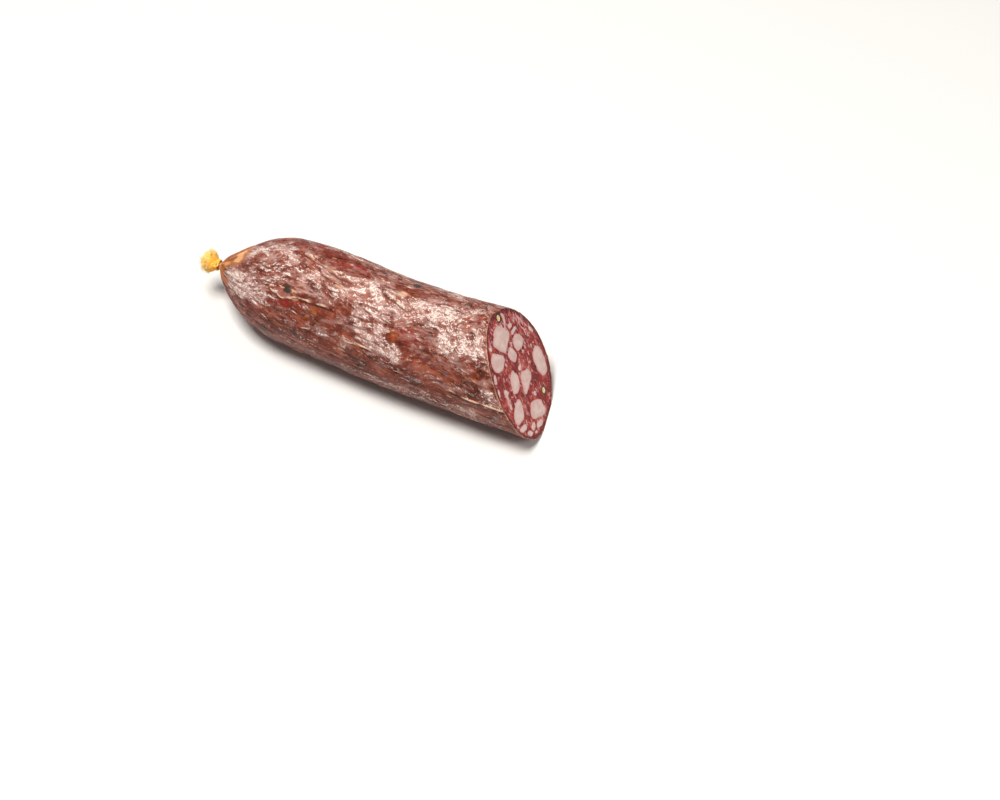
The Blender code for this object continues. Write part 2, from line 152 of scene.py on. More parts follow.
# Lean that shows crimson through the skin, and fat that shows rust-brown
CRIMSON = (
    (-75, 80, 5, 2.5, 1.0), (-97, 143, 6, 4.0, 0.8), (-43, 129, 7, 3.5, 0.9), (-94, 70, 16, 4.0, 0.6),
    (-18, 53, 15, 4.0, 0.4), (-13, 104, 6, 4.0, 0.45), (-108, 148, 7, 4.0, 0.4), (-84, 88, 8, 3.0, 0.5),
    (-55, 68, 9, 3.0, 0.4),
)
RUST = (
    (-86, 140, 4, 3.0, 0.9), (-48, 133, 4, 3.0, 0.8), (-12, 150, 7, 4.0, 0.55), (-104, 162, 7, 4.0, 0.5),
    (-91, 152, 5, 3.0, 0.5), (-60, 170, 6, 4.0, 0.4), (-42, 72, 6, 2.5, 0.7), (-112, 113, 6, 2.5, 0.5),
    (-70, 68, 8, 3.0, 0.4), (-33, 64, 6, 3.0, 0.35), (-94, 138, 4, 2.0, 0.5), (-35, 150, 6, 5.0, 0.3),
    (-28, 182, 12, 3.0, 0.4),
)
# Thin fatty skin by the neck: tan patches of its own colour, and a painted glow of light shining through it
# at the stub and along its lower left edge
AMBER = (
    (-129.5, 109, 2.2, 2.6, 0.9), (-127.5, 98, 2.0, 2.8, 0.9), (-134, 115, 3.0, 1.8, 0.6),
    (-132, 88, 9, 4.5, 0.42), (-138, 150, 4, 4.0, 0.35), (-133, 162, 4, 2.0, 0.3),
)

# ---- Fineness of the meshes

SKIN_ROWS, SKIN_COLUMNS = 226, 400
LINING_ROWS = 18
SKIN_THICKNESS = 0.28
FACE_SIDE = 170         # quads along one side of the cut face's grid
FAT_STEP = 0.35         # spacing of the points on a piece of fat's outline
FAT_TAPER, FAT_DEPTH_SHARE = 0.75, 0.7
FAT_ROUNDING = (0.15, 0.25)
FAT_REGROWN = 0.22      # what rounding the corners takes off an outline, put back
FAT_DOME = 0.09
# A piece of fat's cut face: (share of its outline, how far ahead of the cut)
FAT_LEVELS = (
    (0.25, FAT_DOME), (0.45, FAT_DOME), (0.62, 0.085), (0.76, 0.08), (0.87, 0.07), (0.94, 0.055),
    (0.985, 0.0), (1.0, -0.14), (1.0, -0.5),
)
# How stained with pink veins the first pieces are, and the others
FAT_VEINED, USUALLY_VEINED = (0.1, 0.1, 0.7, 1.0, 0.1, 0.5, 0.8, 0.1, 0.3), 0.4
FACE_DEPTH = SKIN_THICKNESS - 0.04
# The filling's hidden body: (distance from the cut, depth under the skin)
FILLING_RINGS = (
    (-0.8, FACE_DEPTH), (-3.0, 0.9), (-10.0, 1.6), (-30.0, 1.8), (-60.0, 1.8), (-90.0, 1.8),
    (-115.0, 1.8), (-127.0, 1.8), (-134.0, 1.6), (-137.4, 1.3),
)
# A halved peppercorn's flat side: (share of its radius, how far ahead of the cut)
PEPPER_LEVELS = (
    (0.15, -0.16), (0.32, -0.12), (0.48, -0.02), (0.60, 0.02), (0.68, 0.0), (0.80, 0.08),
    (0.92, 0.12), (0.99, 0.08),
)
KERNEL_SHARE = 0.62
HALF_PEPPER_SIDES = 48
BALL_ROWS, BALL_COLUMNS = 24, 40

# ---- Folds drawn at random, and the pleats by the neck

FOLD_X, LAST_FOLD_X = (-128, -8), -1
FOLD_SLOPE, FOLD_JITTER = (0.55, 0.4), 0.8
FOLD_HALF_WIDTHS = (0.28, 0.45)
# (how many go round, share of the height, lag in radians)
PLEATS = ((9, 0.30, 0.4), (15, 0.34, 2.1), (23, 0.26, 4.0), (37, 0.16, 1.2))

# ---- The tie and the frayed ends

TIE_X, TWINE, TURNS = -144.3, 0.9, 3
KNOT_ANGLE = np.radians(135)
KNOT_SIZE = (1.3, 1.1, 1.1)
TWINE_SIDES = 14
PLY_TWIST = 0.55        # how fast the two plies turn about each other, in radians a path point
TUFT_CLUMPS, TUFT_FIBRES = 80, 12
TUFT_LENGTH, TUFT_SPREAD, TUFT_RISE = 7.5, 1.05, 0.9
TUFT_ROOT = 1.3         # how far ahead of the tie's back end the fibres start
# The tuft's dense middle: (distance behind its root, radius)
TUFT_CORE = (
    (-0.4, 1.9), (0.5, 2.8), (1.6, 3.8), (2.8, 4.3), (4.0, 4.3), (5.2, 3.7), (6.1, 2.6), (6.6, 1.1),
)
TUFT_CORE_ROWS, TUFT_CORE_SIDES = 40, 120
FIBRE_SIDES, FIBRE_POINTS = 3, 8

# ---- Camera

CAMERA_TARGET = (0.0584, 0.0, -0.0009)
CAMERA_AZIMUTH, CAMERA_ELEVATION = np.radians(24.4), np.radians(50.4)
CAMERA_DISTANCE = 1.0
CAMERA_LENS, CAMERA_SENSOR = 86.8, 36.0

# ---- Light and floor, in metres and watts

WORLD_COLOUR, WORLD_STRENGTH = (1.0, 0.97, 0.93, 1.0), 0.22
LIGHT_COLOUR = (1.0, 0.96, 0.91)
# name: (place, size, power)
SOFTBOXES = {
    "key_light": ((-0.15, -0.22, 1.15), (0.55, 0.45), 19.5),
    "side_light": ((1.10, 0.10, 0.60), (0.40, 0.40), 5.0),
}
FLOOR_HALF_SIDE = 4.0
FLOOR_COLOUR, FLOOR_ROUGHNESS = (0.72, 0.72, 0.72), 0.8


# ======== Noise

@lru_cache
def noise_tables(seed):
    draw = np.random.default_rng(seed)
    directions = draw.normal(size=(256, 3))
    return draw.permutation(256), directions / np.linalg.norm(directions, axis=1)[:, None]


def noise(points, seed):
    """Smooth noise, mostly within -1 and 1, at points given in grains."""
    order, directions = noise_tables(seed)
    points = np.asarray(points, float)
    cells = np.floor(points).astype(int)
    local = points - cells
    fade = local**3 * (local * (local * 6 - 15) + 10)
    total = np.zeros(points.shape[:-1])
    for corner in np.ndindex(2, 2, 2):
        cell = (cells + corner) % 256
        spot = order[(order[(order[cell[..., 0]] + cell[..., 1]) % 256] + cell[..., 2]) % 256]
        weight = np.prod(np.where(corner, fade, 1 - fade), axis=-1)
        total += weight * np.sum(directions[spot] * (local - corner), axis=-1)
    return 1.7 * total


def smooth_step(value, low, high):
    share = np.clip((value - low) / (high - low), 0, 1)
    return share * share * (3 - 2 * share)


# ======== The body's smooth shape

def smooth_between(knots, x):
    """A smooth curve through the knots that never overshoots them, read at every x."""
    xs, ys = np.array(knots, float).T
    steps = np.diff(xs)
    slopes = np.diff(ys) / steps
    tangents = np.zeros(len(xs))
    for i in range(1, len(xs) - 1):
        if slopes[i - 1] * slopes[i] > 0:
            tangents[i] = 2 * slopes[i - 1] * slopes[i] / (slopes[i - 1] + slopes[i])
    tangents[0], tangents[-1] = slopes[0], slopes[-1]
    k = np.clip(np.searchsorted(xs, x) - 1, 0, len(steps) - 1)
    t = (x - xs[k]) / steps[k]
    return (
        ys[k] * (1 + 2 * t) * (1 - t) ** 2 + ys[k + 1] * t * t * (3 - 2 * t)
        + steps[k] * (tangents[k] * t * (1 - t) ** 2 - tangents[k + 1] * t * t * (1 - t))
    )


def running_length(points):
    """The distance along a row of points, at each of them."""
    return np.concatenate([[0], np.cumsum(np.hypot(*np.diff(points, axis=0).T))])


def smooth_row(knots, count):
    """Evenly spaced readings of the curve through the knots, as (first, second) arrays."""
    knots = np.array(knots, float)
    lengths = running_length(knots)
    at = np.linspace(0, lengths[-1], count)
    return [smooth_between(np.stack([lengths, column], -1), at) for column in knots.T]


def radius_at(x):
    return smooth_between(RADIUS_KNOTS, np.maximum(x, NECK_X))


def lobes(angle):
    """How far the section stands out at this angle, as a share of its mean radius."""
    two = TWO_LOBES[0] * np.cos(2 * angle) + TWO_LOBES[1] * np.sin(2 * angle)
    three = THREE_LOBES[0] * np.cos(3 * angle) + THREE_LOBES[1] * np.sin(3 * angle)
    return 1 + two + three


def sloped_in(x, angle):
    """How much nearer the axis the surface lies on the sloping side by the neck."""
    turned = (angle - SLOPE_ANGLE + np.pi) % TURN - np.pi
    return SLOPE_DEPTH * np.exp(-(((x - SLOPE_X) / SLOPE_LENGTH) ** 2) - (turned / SLOPE_SPREAD) ** 2)


UNDERSIDE = np.linspace(np.pi, TURN, 181)
LOWEST_SHARE = np.max(-np.sin(UNDERSIDE) * lobes(UNDERSIDE))


def centre_of(x):
    """The axis at x, as (y, z): on the table along the body, rising or dropping to the neck."""
    x = np.maximum(x, NECK_X)
    resting = radius_at(np.maximum(x, LIFT_START_X)) * LOWEST_SHARE - RESTING_FLAT
    to_neck = np.clip((LIFT_START_X - x) / (LIFT_START_X - NECK_X), 0, 1) ** LIFT_POWER
    return smooth_between(SWEEP_KNOTS, x), resting + (NECK_HEIGHT - resting) * to_neck


AXIS_AT_CUT = centre_of(0.0)


def cut_offset(across, up):
    """How far along X the cut lies ahead of the axis, for a point of the section."""
    slope_across = np.sin(CUT_TURN) * np.cos(CUT_LEAN)
    return -(slope_across * across + np.sin(CUT_LEAN) * up) / (np.cos(CUT_TURN) * np.cos(CUT_LEAN))


CUT_NORMAL = np.array((
    np.cos(CUT_TURN) * np.cos(CUT_LEAN), np.sin(CUT_TURN) * np.cos(CUT_LEAN), np.sin(CUT_LEAN),
))


def placed(x, y, z):
    return np.stack([x + CUT_X, y + CUT_Y, z], -1)


def section(x, angle, lift, inset):
    """Across and up of a surface point, from the table's zero, that stands lift off the smooth body."""
    y, z = centre_of(x)
    radius = radius_at(x) * lobes(angle) - sloped_in(x, angle) + lift
    return y + radius * np.cos(angle), np.maximum(z + radius * np.sin(angle), inset)


def body_surface(x, angle, lift, cut_lift, inset=0.0):
    """Points of the body that stand lift off its smooth shape; near the cut they swing into it."""
    y, z = section(x, angle, lift, inset)
    cut_y, cut_z = section(0.0, angle, cut_lift, inset)
    share = np.clip(1 + x / CUT_BLEND, 0, 1)
    along = x + share * cut_offset(cut_y - AXIS_AT_CUT[0], cut_z - AXIS_AT_CUT[1])
    return placed(along, y, z)


# ======== The skin's relief

LENGTH_X = np.linspace(STUB_END_X, 0, 1500)
LENGTH_STEPS = np.hypot(np.diff(LENGTH_X), np.diff(radius_at(LENGTH_X)))
LENGTH_ALONG = np.concatenate([[0], np.cumsum(LENGTH_STEPS)]) - np.sum(LENGTH_STEPS)


def skin_place(x, angle):
    """A place on the skin as (length along it, then two that go round it), with no seam."""
    along = np.interp(x, LENGTH_X, LENGTH_ALONG)
    return np.stack([along, SKIN_RADIUS * np.cos(angle), SKIN_RADIUS * np.sin(angle)], -1)


def flowing(place):
    """The place pushed about, so that what is drawn along it wanders like gathered gut."""
    push = np.stack([noise(place / (20, 12, 12), 11 + i) for i in range(3)], -1)
    ripple = np.stack([noise(place / (6, 5, 5), 14 + i) for i in range(3)], -1)
    return place + push * (3, 2.4, 2.4) + ripple * (0.8, 0.6, 0.6)


def drawn_folds(seed, count, degrees, steps, step, heights):
    """Folds drawn at random over a range of angles, in the same manner as the listed ones."""
    draw = np.random.default_rng(seed)
    folds = []
    for _ in range(count):
        x, at = draw.uniform(*FOLD_X), draw.uniform(*degrees)
        slope = draw.normal(*FOLD_SLOPE)
        points = []
        for _ in range(draw.integers(*steps)):
            points.append((x, at))
            stride = draw.uniform(*step)
            x += stride
            at += stride * slope + draw.normal(0, FOLD_JITTER)
        kept = tuple(p for p in points if p[0] < LAST_FOLD_X)
        if len(kept) > 1:
            folds.append((kept, draw.uniform(*heights), draw.uniform(*FOLD_HALF_WIDTHS)))
    return folds


HIDDEN_FOLDS = drawn_folds(5, 26, (205, 405), (3, 6), (5, 9), (0.2, 0.4))
SMALL_FOLDS = drawn_folds(8, 240, (0, 360), (3, 5), (2.2, 4.4), (0.12, 0.28))


def fold_relief(folds, x, angle, wander, uneven):
    """Height of the folds, and of the groove that runs under each one, which the skin's colour darkens with
    painted shade.
    """
    height = np.zeros(x.shape)
    groove_and_shade = np.zeros(x.shape)
    degrees = np.degrees(angle)
    for points, tall, half_width in folds:
        line = np.array(points, float)
        lengths = running_length(line * (1, SKIN_RADIUS / RADIAN))
        reach = (x > line[:, 0].min() - 6) & (x < line[:, 0].max() + 6)
        px = x[reach]
        pd = (degrees[reach] - line[:, 1].mean() + 180) % 360 - 180 + line[:, 1].mean()
        best, side, run = np.full(px.shape, 99.0), np.zeros(px.shape), np.zeros(px.shape)
        for i, (start, end) in enumerate(zip(line, line[1:])):
            to_mm = np.array((1, radius_at((start[0] + end[0]) / 2) / RADIAN))
            step = (end - start) * to_mm
            offset = np.stack([px - start[0], pd - start[1]], -1) * to_mm
            share = np.clip(offset @ step / (step @ step), 0, 1)
            away = offset - share[:, None] * step
            distance = np.hypot(*away.T)
            nearer = distance < best
            best[nearer] = distance[nearer]
            side[nearer] = np.sign(step[0] * away[nearer, 1] - step[1] * away[nearer, 0])
            run[nearer] = lengths[i] + share[nearer] * np.hypot(*step)
        across = side * best + wander[reach]
        taper = smooth_step(run, 0, 4)
        if end[0] < 0:
            taper = taper * smooth_step(lengths[-1] - run, 0, 5)
        height[reach] += tall * taper * uneven[reach] * np.exp(-((across / half_width) ** 2))
        groove_and_shade[reach] += taper * np.exp(-(((across - 2.0 * half_width) / (0.8 * half_width)) ** 2))
    return height, groove_and_shade


def gathered(x, angle):
    """Pleats that run out from the neck."""
    strength = smooth_step(-x, 108, 132)
    pleats = np.zeros(x.shape)
    place = np.stack([x / 14, np.cos(angle) * 2, np.sin(angle) * 2], -1)
    for count, share, lag in PLEATS:
        wave = np.sin(count * angle + lag + 0.9 * noise(place, count))
        pleats += share * (1 - 2 * np.abs(wave))
    return strength * np.minimum(0.55, 0.045 * radius_at(x)) * pleats


def spots(x, angle, patches):
    """The sum of the soft oval patches at each place."""
    degrees = np.degrees(angle)
    total = np.zeros(x.shape)
    for px, pd, half_length, half_width, amount in patches:
        turned = (degrees - pd + 180) % 360 - 180
        across = turned * radius_at(px) / RADIAN
        total += amount * np.exp(-(((x - px) / half_length) ** 2 + (across / half_width) ** 2))
    return total


def skin_relief(x, angle):
    """The skin's lift off the smooth body in millimetres, with the parts that the material needs."""
    place = skin_place(x, angle)
    flow = flowing(place)
    body = smooth_step(x, -140, -132)
    lumps = 0.26 * noise(place / (24, 13, 13), 1) + 0.12 * noise(place / (9, 6, 6), 2)
    busy = smooth_step(noise(place / (16, 10, 10), 3), -0.35, 0.35)
    creases = np.exp(-((noise(flow / (19, 3.6, 3.6), 4) / 0.13) ** 2))
    fine_creases = np.exp(-((noise(flow / (11, 2.2, 2.2), 5) / 0.17) ** 2))
    swells = 0.13 * noise(flow / (7, 2.2, 2.2), 6) + 0.06 * noise(flow / (3.2, 1.1, 1.1), 7)
    wander = 0.9 * noise(place / (7, 5, 5), 8) + 0.3 * noise(place / (2.5, 2, 2), 9)
    uneven = smooth_step(noise(place / (4, 3, 3), 10), -0.7, 0.3)
    broken = smooth_step(noise(place / (5, 3, 3), 13), -0.5, 0.1)
    fold, groove_and_shade = fold_relief((*FOLDS, *HIDDEN_FOLDS), x, angle, wander, uneven)
    small_fold, small_groove_and_shade = fold_relief(SMALL_FOLDS, x, angle, 0.7 * wander, broken)
    pleats = gathered(x, angle)
    pepper = sum(spots(x, angle, [(*spot, 1.8, 1.8, 1.0)]) for spot in SKIN_PEPPERS.values())
    fat = spots(x, angle, [(*SKIN_FAT, 2.6, 2.1, 1.0)])
    crumple = 0.5 - np.abs(noise(flow / (3.4, 1.5, 1.5), 12))
    fine = 1.2 * swells - busy * (0.30 * creases + 0.15 * fine_creases) + 0.14 * crumple
    fine = fine + small_fold - 0.16 * groove_and_shade - 0.10 * small_groove_and_shade
    lift = body * (lumps + fine + fold + 0.55 * pepper + 0.25 * fat) + pleats
    return {
        "lift": lift,
        "height": np.clip(0.5 + 1.1 * (body * (fine + 0.6 * fold) + 0.8 * pleats), 0, 1),
        "fold": np.clip(2.2 * fold, 0, 1),
        "crest": np.clip(4 * small_fold, 0, 1),
        "groove_and_shade": np.clip(groove_and_shade + small_groove_and_shade * broken, 0, 1),
        "pepper": np.clip(1.5 * pepper, 0, 1),
        "fat": fat,
    }


def skin_masks(x, angle):
    """Where bloom, crimson, rust and amber lie on the skin, and the lower near side and underside, which are
    darkened with painted shade.
    """
    place = skin_place(x, angle)
    drift = 2.2 * noise(place / (7, 5, 5), 21)
    drift_round = 5.0 * noise(place / (8, 5, 5), 22)
    at, turned = x + drift, angle + np.radians(drift_round)
    listed = smooth_step(np.degrees(angle), 40, 65) * (1 - smooth_step(np.degrees(angle), 200, 225))
    wide = noise(place / (26, 14, 14), 23) + 0.5 * noise(place / (10, 6, 6), 24)
    # Painted shade: less bloom on the lower near side and the underside darkens them.
    underside_shade = smooth_step(np.degrees(angle), 140, 185) * (1 - smooth_step(np.degrees(angle), 250, 330))
    bloom = 0.24 + (0.16 + 0.22 * (1 - listed)) * wide - 0.22 * underside_shade
    bloom = bloom + spots(at, turned, BLOOM) - spots(at, turned, BARE)
    hidden = 1 - listed
    crimson = spots(at, turned, CRIMSON) + hidden * smooth_step(noise(place / (14, 8, 8), 25), 0.2, 0.6)
    rust = spots(at, turned, RUST) + hidden * 0.8 * smooth_step(noise(place / (9, 6, 6), 26), 0.3, 0.7)
    amber = spots(at, turned, AMBER)
    # Painted glow: the neck stub is turned amber as if lit through from behind.
    amber = amber + 0.40 * smooth_step(-x, 135, 140) + 0.45 * smooth_step(-x, 139, 141)
    return {"bloom": bloom, "crimson": crimson, "rust": rust, "amber": amber, "underside_shade": underside_shade}


# ======== Meshes

def strip_faces(rows, columns, first=0):
    """Quads between neighbouring closed rings of points."""
    row, column = np.meshgrid(np.arange(rows - 1), np.arange(columns), indexing="ij")
    after = (column + 1) % columns
    near, far = row * columns, (row + 1) * columns
    corners = [near + column, near + after, far + after, far + column]
    return first + np.stack(corners, -1).reshape(-1, 4)


def fan_faces(ring, hub, flip=False):
    """Triangles from a closed ring of point numbers to one more point."""
    following = np.roll(ring, -1)
    ends = (following, ring) if flip else (ring, following)
    return np.stack([*ends, np.full(len(ring), hub)], -1)


def closed_faces(rows, columns, first=0):
    """Faces over rows of rings, closed by two more points that follow the last ring."""
    ring, last = first + np.arange(columns), first + rows * columns
    return [
        strip_faces(rows, columns, first), fan_faces(ring, last, flip=True),
        fan_faces(ring + (rows - 1) * columns, last + 1),
    ]


def closed_rings(rings, first=0):
    """Points and faces of rings whose ends are closed, laid down from point number first."""
    rings = np.array(rings)
    ends = [rings[0].mean(0), rings[-1].mean(0)]
    return np.concatenate([rings.reshape(-1, 3), ends]), closed_faces(*rings.shape[:2], first)


def turned_over(groups):
    return [group[:, ::-1] for group in groups]


def add_mesh(name, points, face_groups, shades=None):
    """A smooth-shaded mesh from points in millimetres; shades are numbers kept at its points."""
    mesh = bpy.data.meshes.new(name)
    faces = [face for group in face_groups for face in group.tolist()]
    mesh.from_pydata((points * MM).tolist(), [], faces)
    for label, values in (shades or {}).items():
        values = np.asarray(values, float)
        kind = "FLOAT_VECTOR" if values.ndim == 2 else "FLOAT"
        field = "vector" if values.ndim == 2 else "value"
        mesh.attributes.new(label, kind, "POINT").data.foreach_set(field, values.ravel())
    mesh.shade_smooth()
    return mesh


def add_object(name, data):
    made = bpy.data.objects.new(name, data)
    bpy.context.scene.collection.objects.link(made)
    return made


def add_piece(name, mesh, material, slot, *nodes):
    """Puts a piece into the frame in place of its CAD nodes."""
    mesh.materials.append(material)
    piece = add_object(name, mesh)
    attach(piece, "root")
    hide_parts(*nodes)
    return piece


# ======== Materials

class Shader:
    """One material's nodes. Each call adds a node and returns the socket that holds its result."""

    def __init__(self, name):
        self.material = bpy.data.materials.new(name)
        self.material.use_nodes = True
        self.tree = self.material.node_tree
        self.surface = self.tree.nodes["Principled BSDF"]

    def feed(self, socket, value):
        if isinstance(value, bpy.types.NodeSocket):
            self.tree.links.new(value, socket)
        elif value is not None:
            socket.default_value = value

    def node(self, kind, inputs, output, **settings):
        made = self.tree.nodes.new(kind)
        for key, value in settings.items():
            setattr(made, key, value)
        for key, value in inputs.items():
            self.feed(made.inputs[key], value)
        return made.outputs[output]

    def attribute(self, label, output="Fac"):
        return self.node("ShaderNodeAttribute", {}, output, attribute_name=label)

    def place(self):
        """Where the point lies, in metres."""
        return self.node("ShaderNodeTexCoord", {}, "Object")

    def stretched(self, vector, by):
        return self.node("ShaderNodeVectorMath", {0: vector, 1: by}, "Vector", operation="MULTIPLY")

    def pushed(self, vector, scale, amount):
        """The vector moved about by noise, by about this much."""
        kind = "ShaderNodeVectorMath"
        wild = self.node("ShaderNodeTexNoise", {"Vector": vector, "Scale": scale, "Detail": 2.0}, "Color")
        centred = self.node(kind, {0: wild, 1: (0.5,) * 3}, "Vector", operation="SUBTRACT")
        inputs = {0: centred, 1: (2 * amount,) * 3, 2: vector}
        return self.node(kind, inputs, "Vector", operation="MULTIPLY_ADD")

    def noise(self, vector, scale, detail=3.0, roughness=0.5, distortion=0.0):
        inputs = {
            "Vector": vector, "Scale": scale, "Detail": detail, "Roughness": roughness,
            "Distortion": distortion,
        }
        return self.node("ShaderNodeTexNoise", inputs, "Fac")

    def math(self, operation, first, second=None, third=None):
        return self.node("ShaderNodeMath", {0: first, 1: second, 2: third}, "Value", operation=operation)

    def step(self, value, low, high, to_low=0.0, to_high=1.0):
        inputs = {"Value": value, "From Min": low, "From Max": high, "To Min": to_low, "To Max": to_high}
        return self.node("ShaderNodeMapRange", inputs, "Result", interpolation_type="SMOOTHSTEP")

    def sum(self, *terms):
        """The sum of (value, weight) terms; a bare number is added as it is."""
        total = 0.0
        for term in terms:
            if isinstance(term, tuple):
                total = self.math("MULTIPLY_ADD", term[0], term[1], total)
            else:
                total = self.math("ADD", term, total)
        return total

    def mix(self, first, second, share):
        made = self.tree.nodes.new("ShaderNodeMix")
        made.data_type = "RGBA"
        for socket, value in ((made.inputs[0], share), (made.inputs[6], first), (made.inputs[7], second)):
            self.feed(socket, (*value, 1.0) if isinstance(value, tuple) else value)
        return made.outputs[2]

    def tinted(self, colour, tint, value, *steps):
        """The colour, turned into the tint as far as the value has stepped up."""
        return self.mix(colour, tint, self.step(value, *steps))

    def grains(self, vector, by, *settings):
        """Noise whose grains are drawn out by these factors."""
        return self.noise(self.stretched(vector, by), 1.0, *settings)

    def bump(self, height, distance, strength):
        inputs = {"Strength": strength, "Distance": distance, "Height": height}
        return self.node("ShaderNodeBump", inputs, "Normal")

    def finish(self, **inputs):
        for key, value in inputs.items():
            socket = self.surface.inputs[key.replace("_", " ")]
            self.feed(socket, (*value, 1.0) if isinstance(value, tuple) and socket.type == "RGBA" else value)
        return self.material


def skin_material():
    """Gut over dark dried meat: crimson and rust show through, with cream folds and chalky bloom; creases,
    fold grooves and the underside are darkened with painted shade, and the neck is brightened with a painted
    glow.
    """
    made = Shader("cured_skin")
    skin = made.attribute("skin", "Vector")
    flow = made.attribute("flow", "Vector")
    height = made.attribute("height")
    bloom = made.attribute("bloom")

    broad = made.grains(skin, (0.10, 0.15, 0.15), 3.0, 0.6)
    middling = made.grains(flow, (0.24, 0.50, 0.50), 4.0, 0.62)
    tone = made.sum((broad, 0.5), (middling, 0.5))
    meat = made.tinted((0.050, 0.010, 0.006), (0.150, 0.026, 0.014), tone, 0.38, 0.50)
    meat = made.tinted(meat, (0.300, 0.080, 0.046), tone, 0.50, 0.64)
    crimson = made.math("MULTIPLY", made.attribute("crimson"), made.step(middling, 0.35, 0.60, 0.45, 1.0))
    meat = made.tinted(meat, (0.210, 0.009, 0.005), crimson, 0.10, 0.75, 0.0, 0.85)
    dots = made.grains(skin, (0.42, 0.55, 0.55), 2.0, 0.5)
    rust = made.sum((made.attribute("rust"), 0.75), (made.step(dots, 0.58, 0.72), 0.75))
    rust = made.math("MULTIPLY", rust, middling)
    meat = made.tinted(meat, (0.400, 0.110, 0.025), rust, 0.12, 0.60, 0.0, 0.85)

    # Painted shade: the haze is thinned on the lower near side and the underside.
    underside_shade = made.attribute("underside_shade")
    smears = made.grains(flow, (0.16, 0.30, 0.30), 4.0, 0.58)
    streaks = made.grains(flow, (0.42, 0.80, 0.80), 5.0, 0.62, 0.3)
    flakes = made.grains(flow, (1.40, 2.10, 2.10), 3.0, 0.6)
    cover = made.step(bloom, -0.05, 1.10, 0.0, 0.74)
    haze = made.sum(
        (made.step(smears, 0.36, 0.64), 0.62), (made.step(streaks, 0.36, 0.64), 0.16),
        cover, (underside_shade, -0.20), -0.38,
    )
    haze = made.step(haze, -0.15, 0.80, 0.0, 0.85)
    grain = made.step(made.sum((streaks, 0.44), (flakes, 0.40), (smears, 0.16)), 0.39, 0.61)
    powder = made.sum(grain, (cover, 0.62), (height, 0.55), -1.23)
    chalk = made.step(powder, -0.10, 0.24)
    # The small folds' crests are whitened: partly bloom, partly painted highlight along the ridges.
    crest = made.math("MULTIPLY", made.attribute("crest"), made.step(flakes, 0.32, 0.50, 0.4, 1.0))
    chalk = made.math("MAXIMUM", chalk, made.step(crest, 0.30, 0.80, 0.0, 0.90))
    groove_and_shade = made.step(made.attribute("groove_and_shade"), 0.32, 0.90, 0.0, 0.72)
    thin = made.tinted((0.270, 0.100, 0.085), (0.440, 0.250, 0.220), smears, 0.38, 0.60)
    white = made.tinted((0.520, 0.370, 0.330), (0.820, 0.720, 0.660), flakes, 0.38, 0.60)
    colour = made.mix(meat, thin, haze)
    colour = made.mix(colour, white, made.math("MULTIPLY", chalk, 0.88))

    fold = made.math("MULTIPLY", made.attribute("fold"), made.step(flakes, 0.30, 0.55, 0.6, 1.0))
    colour = made.tinted(colour, (0.720, 0.490, 0.350), fold, 0.35, 0.85, 0.0, 0.80)
    # Painted shade: low-lying skin in creases, pleats and between swells is darkened.
    colour = made.tinted(colour, (0.040, 0.010, 0.006), height, 0.00, 0.26, 0.60, 0.0)
    # Painted shade: the groove under each fold is darkened.
    colour = made.mix(colour, (0.045, 0.012, 0.007), groove_and_shade)
    # Amber: the thin skin's own tan, and where it runs high, a bright orange painted glow of light shining
    # through.
    amber = made.math("MULTIPLY", made.attribute("amber"), made.step(smears, 0.36, 0.58, 0.65, 1.0))
    colour = made.tinted(colour, (0.420, 0.120, 0.024), amber, 0.10, 0.45, 0.0, 0.85)
    colour = made.tinted(colour, (0.780, 0.410, 0.190), amber, 0.50, 0.80, 0.0, 0.90)
    colour = made.tinted(colour, (0.660, 0.420, 0.290), made.attribute("fat"), 0.40, 0.80, 0.0, 0.70)
    pepper = made.sum((made.attribute("pepper"), 1.0), (flakes, 1.6), -0.8)
    colour = made.tinted(colour, (0.026, 0.027, 0.022), pepper, 0.40, 0.75, 0.0, 0.92)
    edge = made.math("MULTIPLY", made.attribute("edge"), made.step(middling, 0.35, 0.60, 0.35, 1.0))
    colour = made.mix(colour, (0.560, 0.300, 0.180), edge)

    roughness = made.sum((haze, 0.10), (chalk, 0.25), (middling, 0.20), 0.17)
    fine = made.sum((smears, 1.2), (streaks, 0.5), (flakes, 0.12))
    return made.finish(
        Base_Color=colour, Roughness=roughness, Normal=made.bump(fine, 0.0010, 0.9),
        Subsurface_Weight=0.10, Subsurface_Radius=(0.0022, 0.0007, 0.0004), Subsurface_Scale=1.0,
        Specular_IOR_Level=0.20, Specular_Tint=(1.0, 0.86, 0.76),
    )


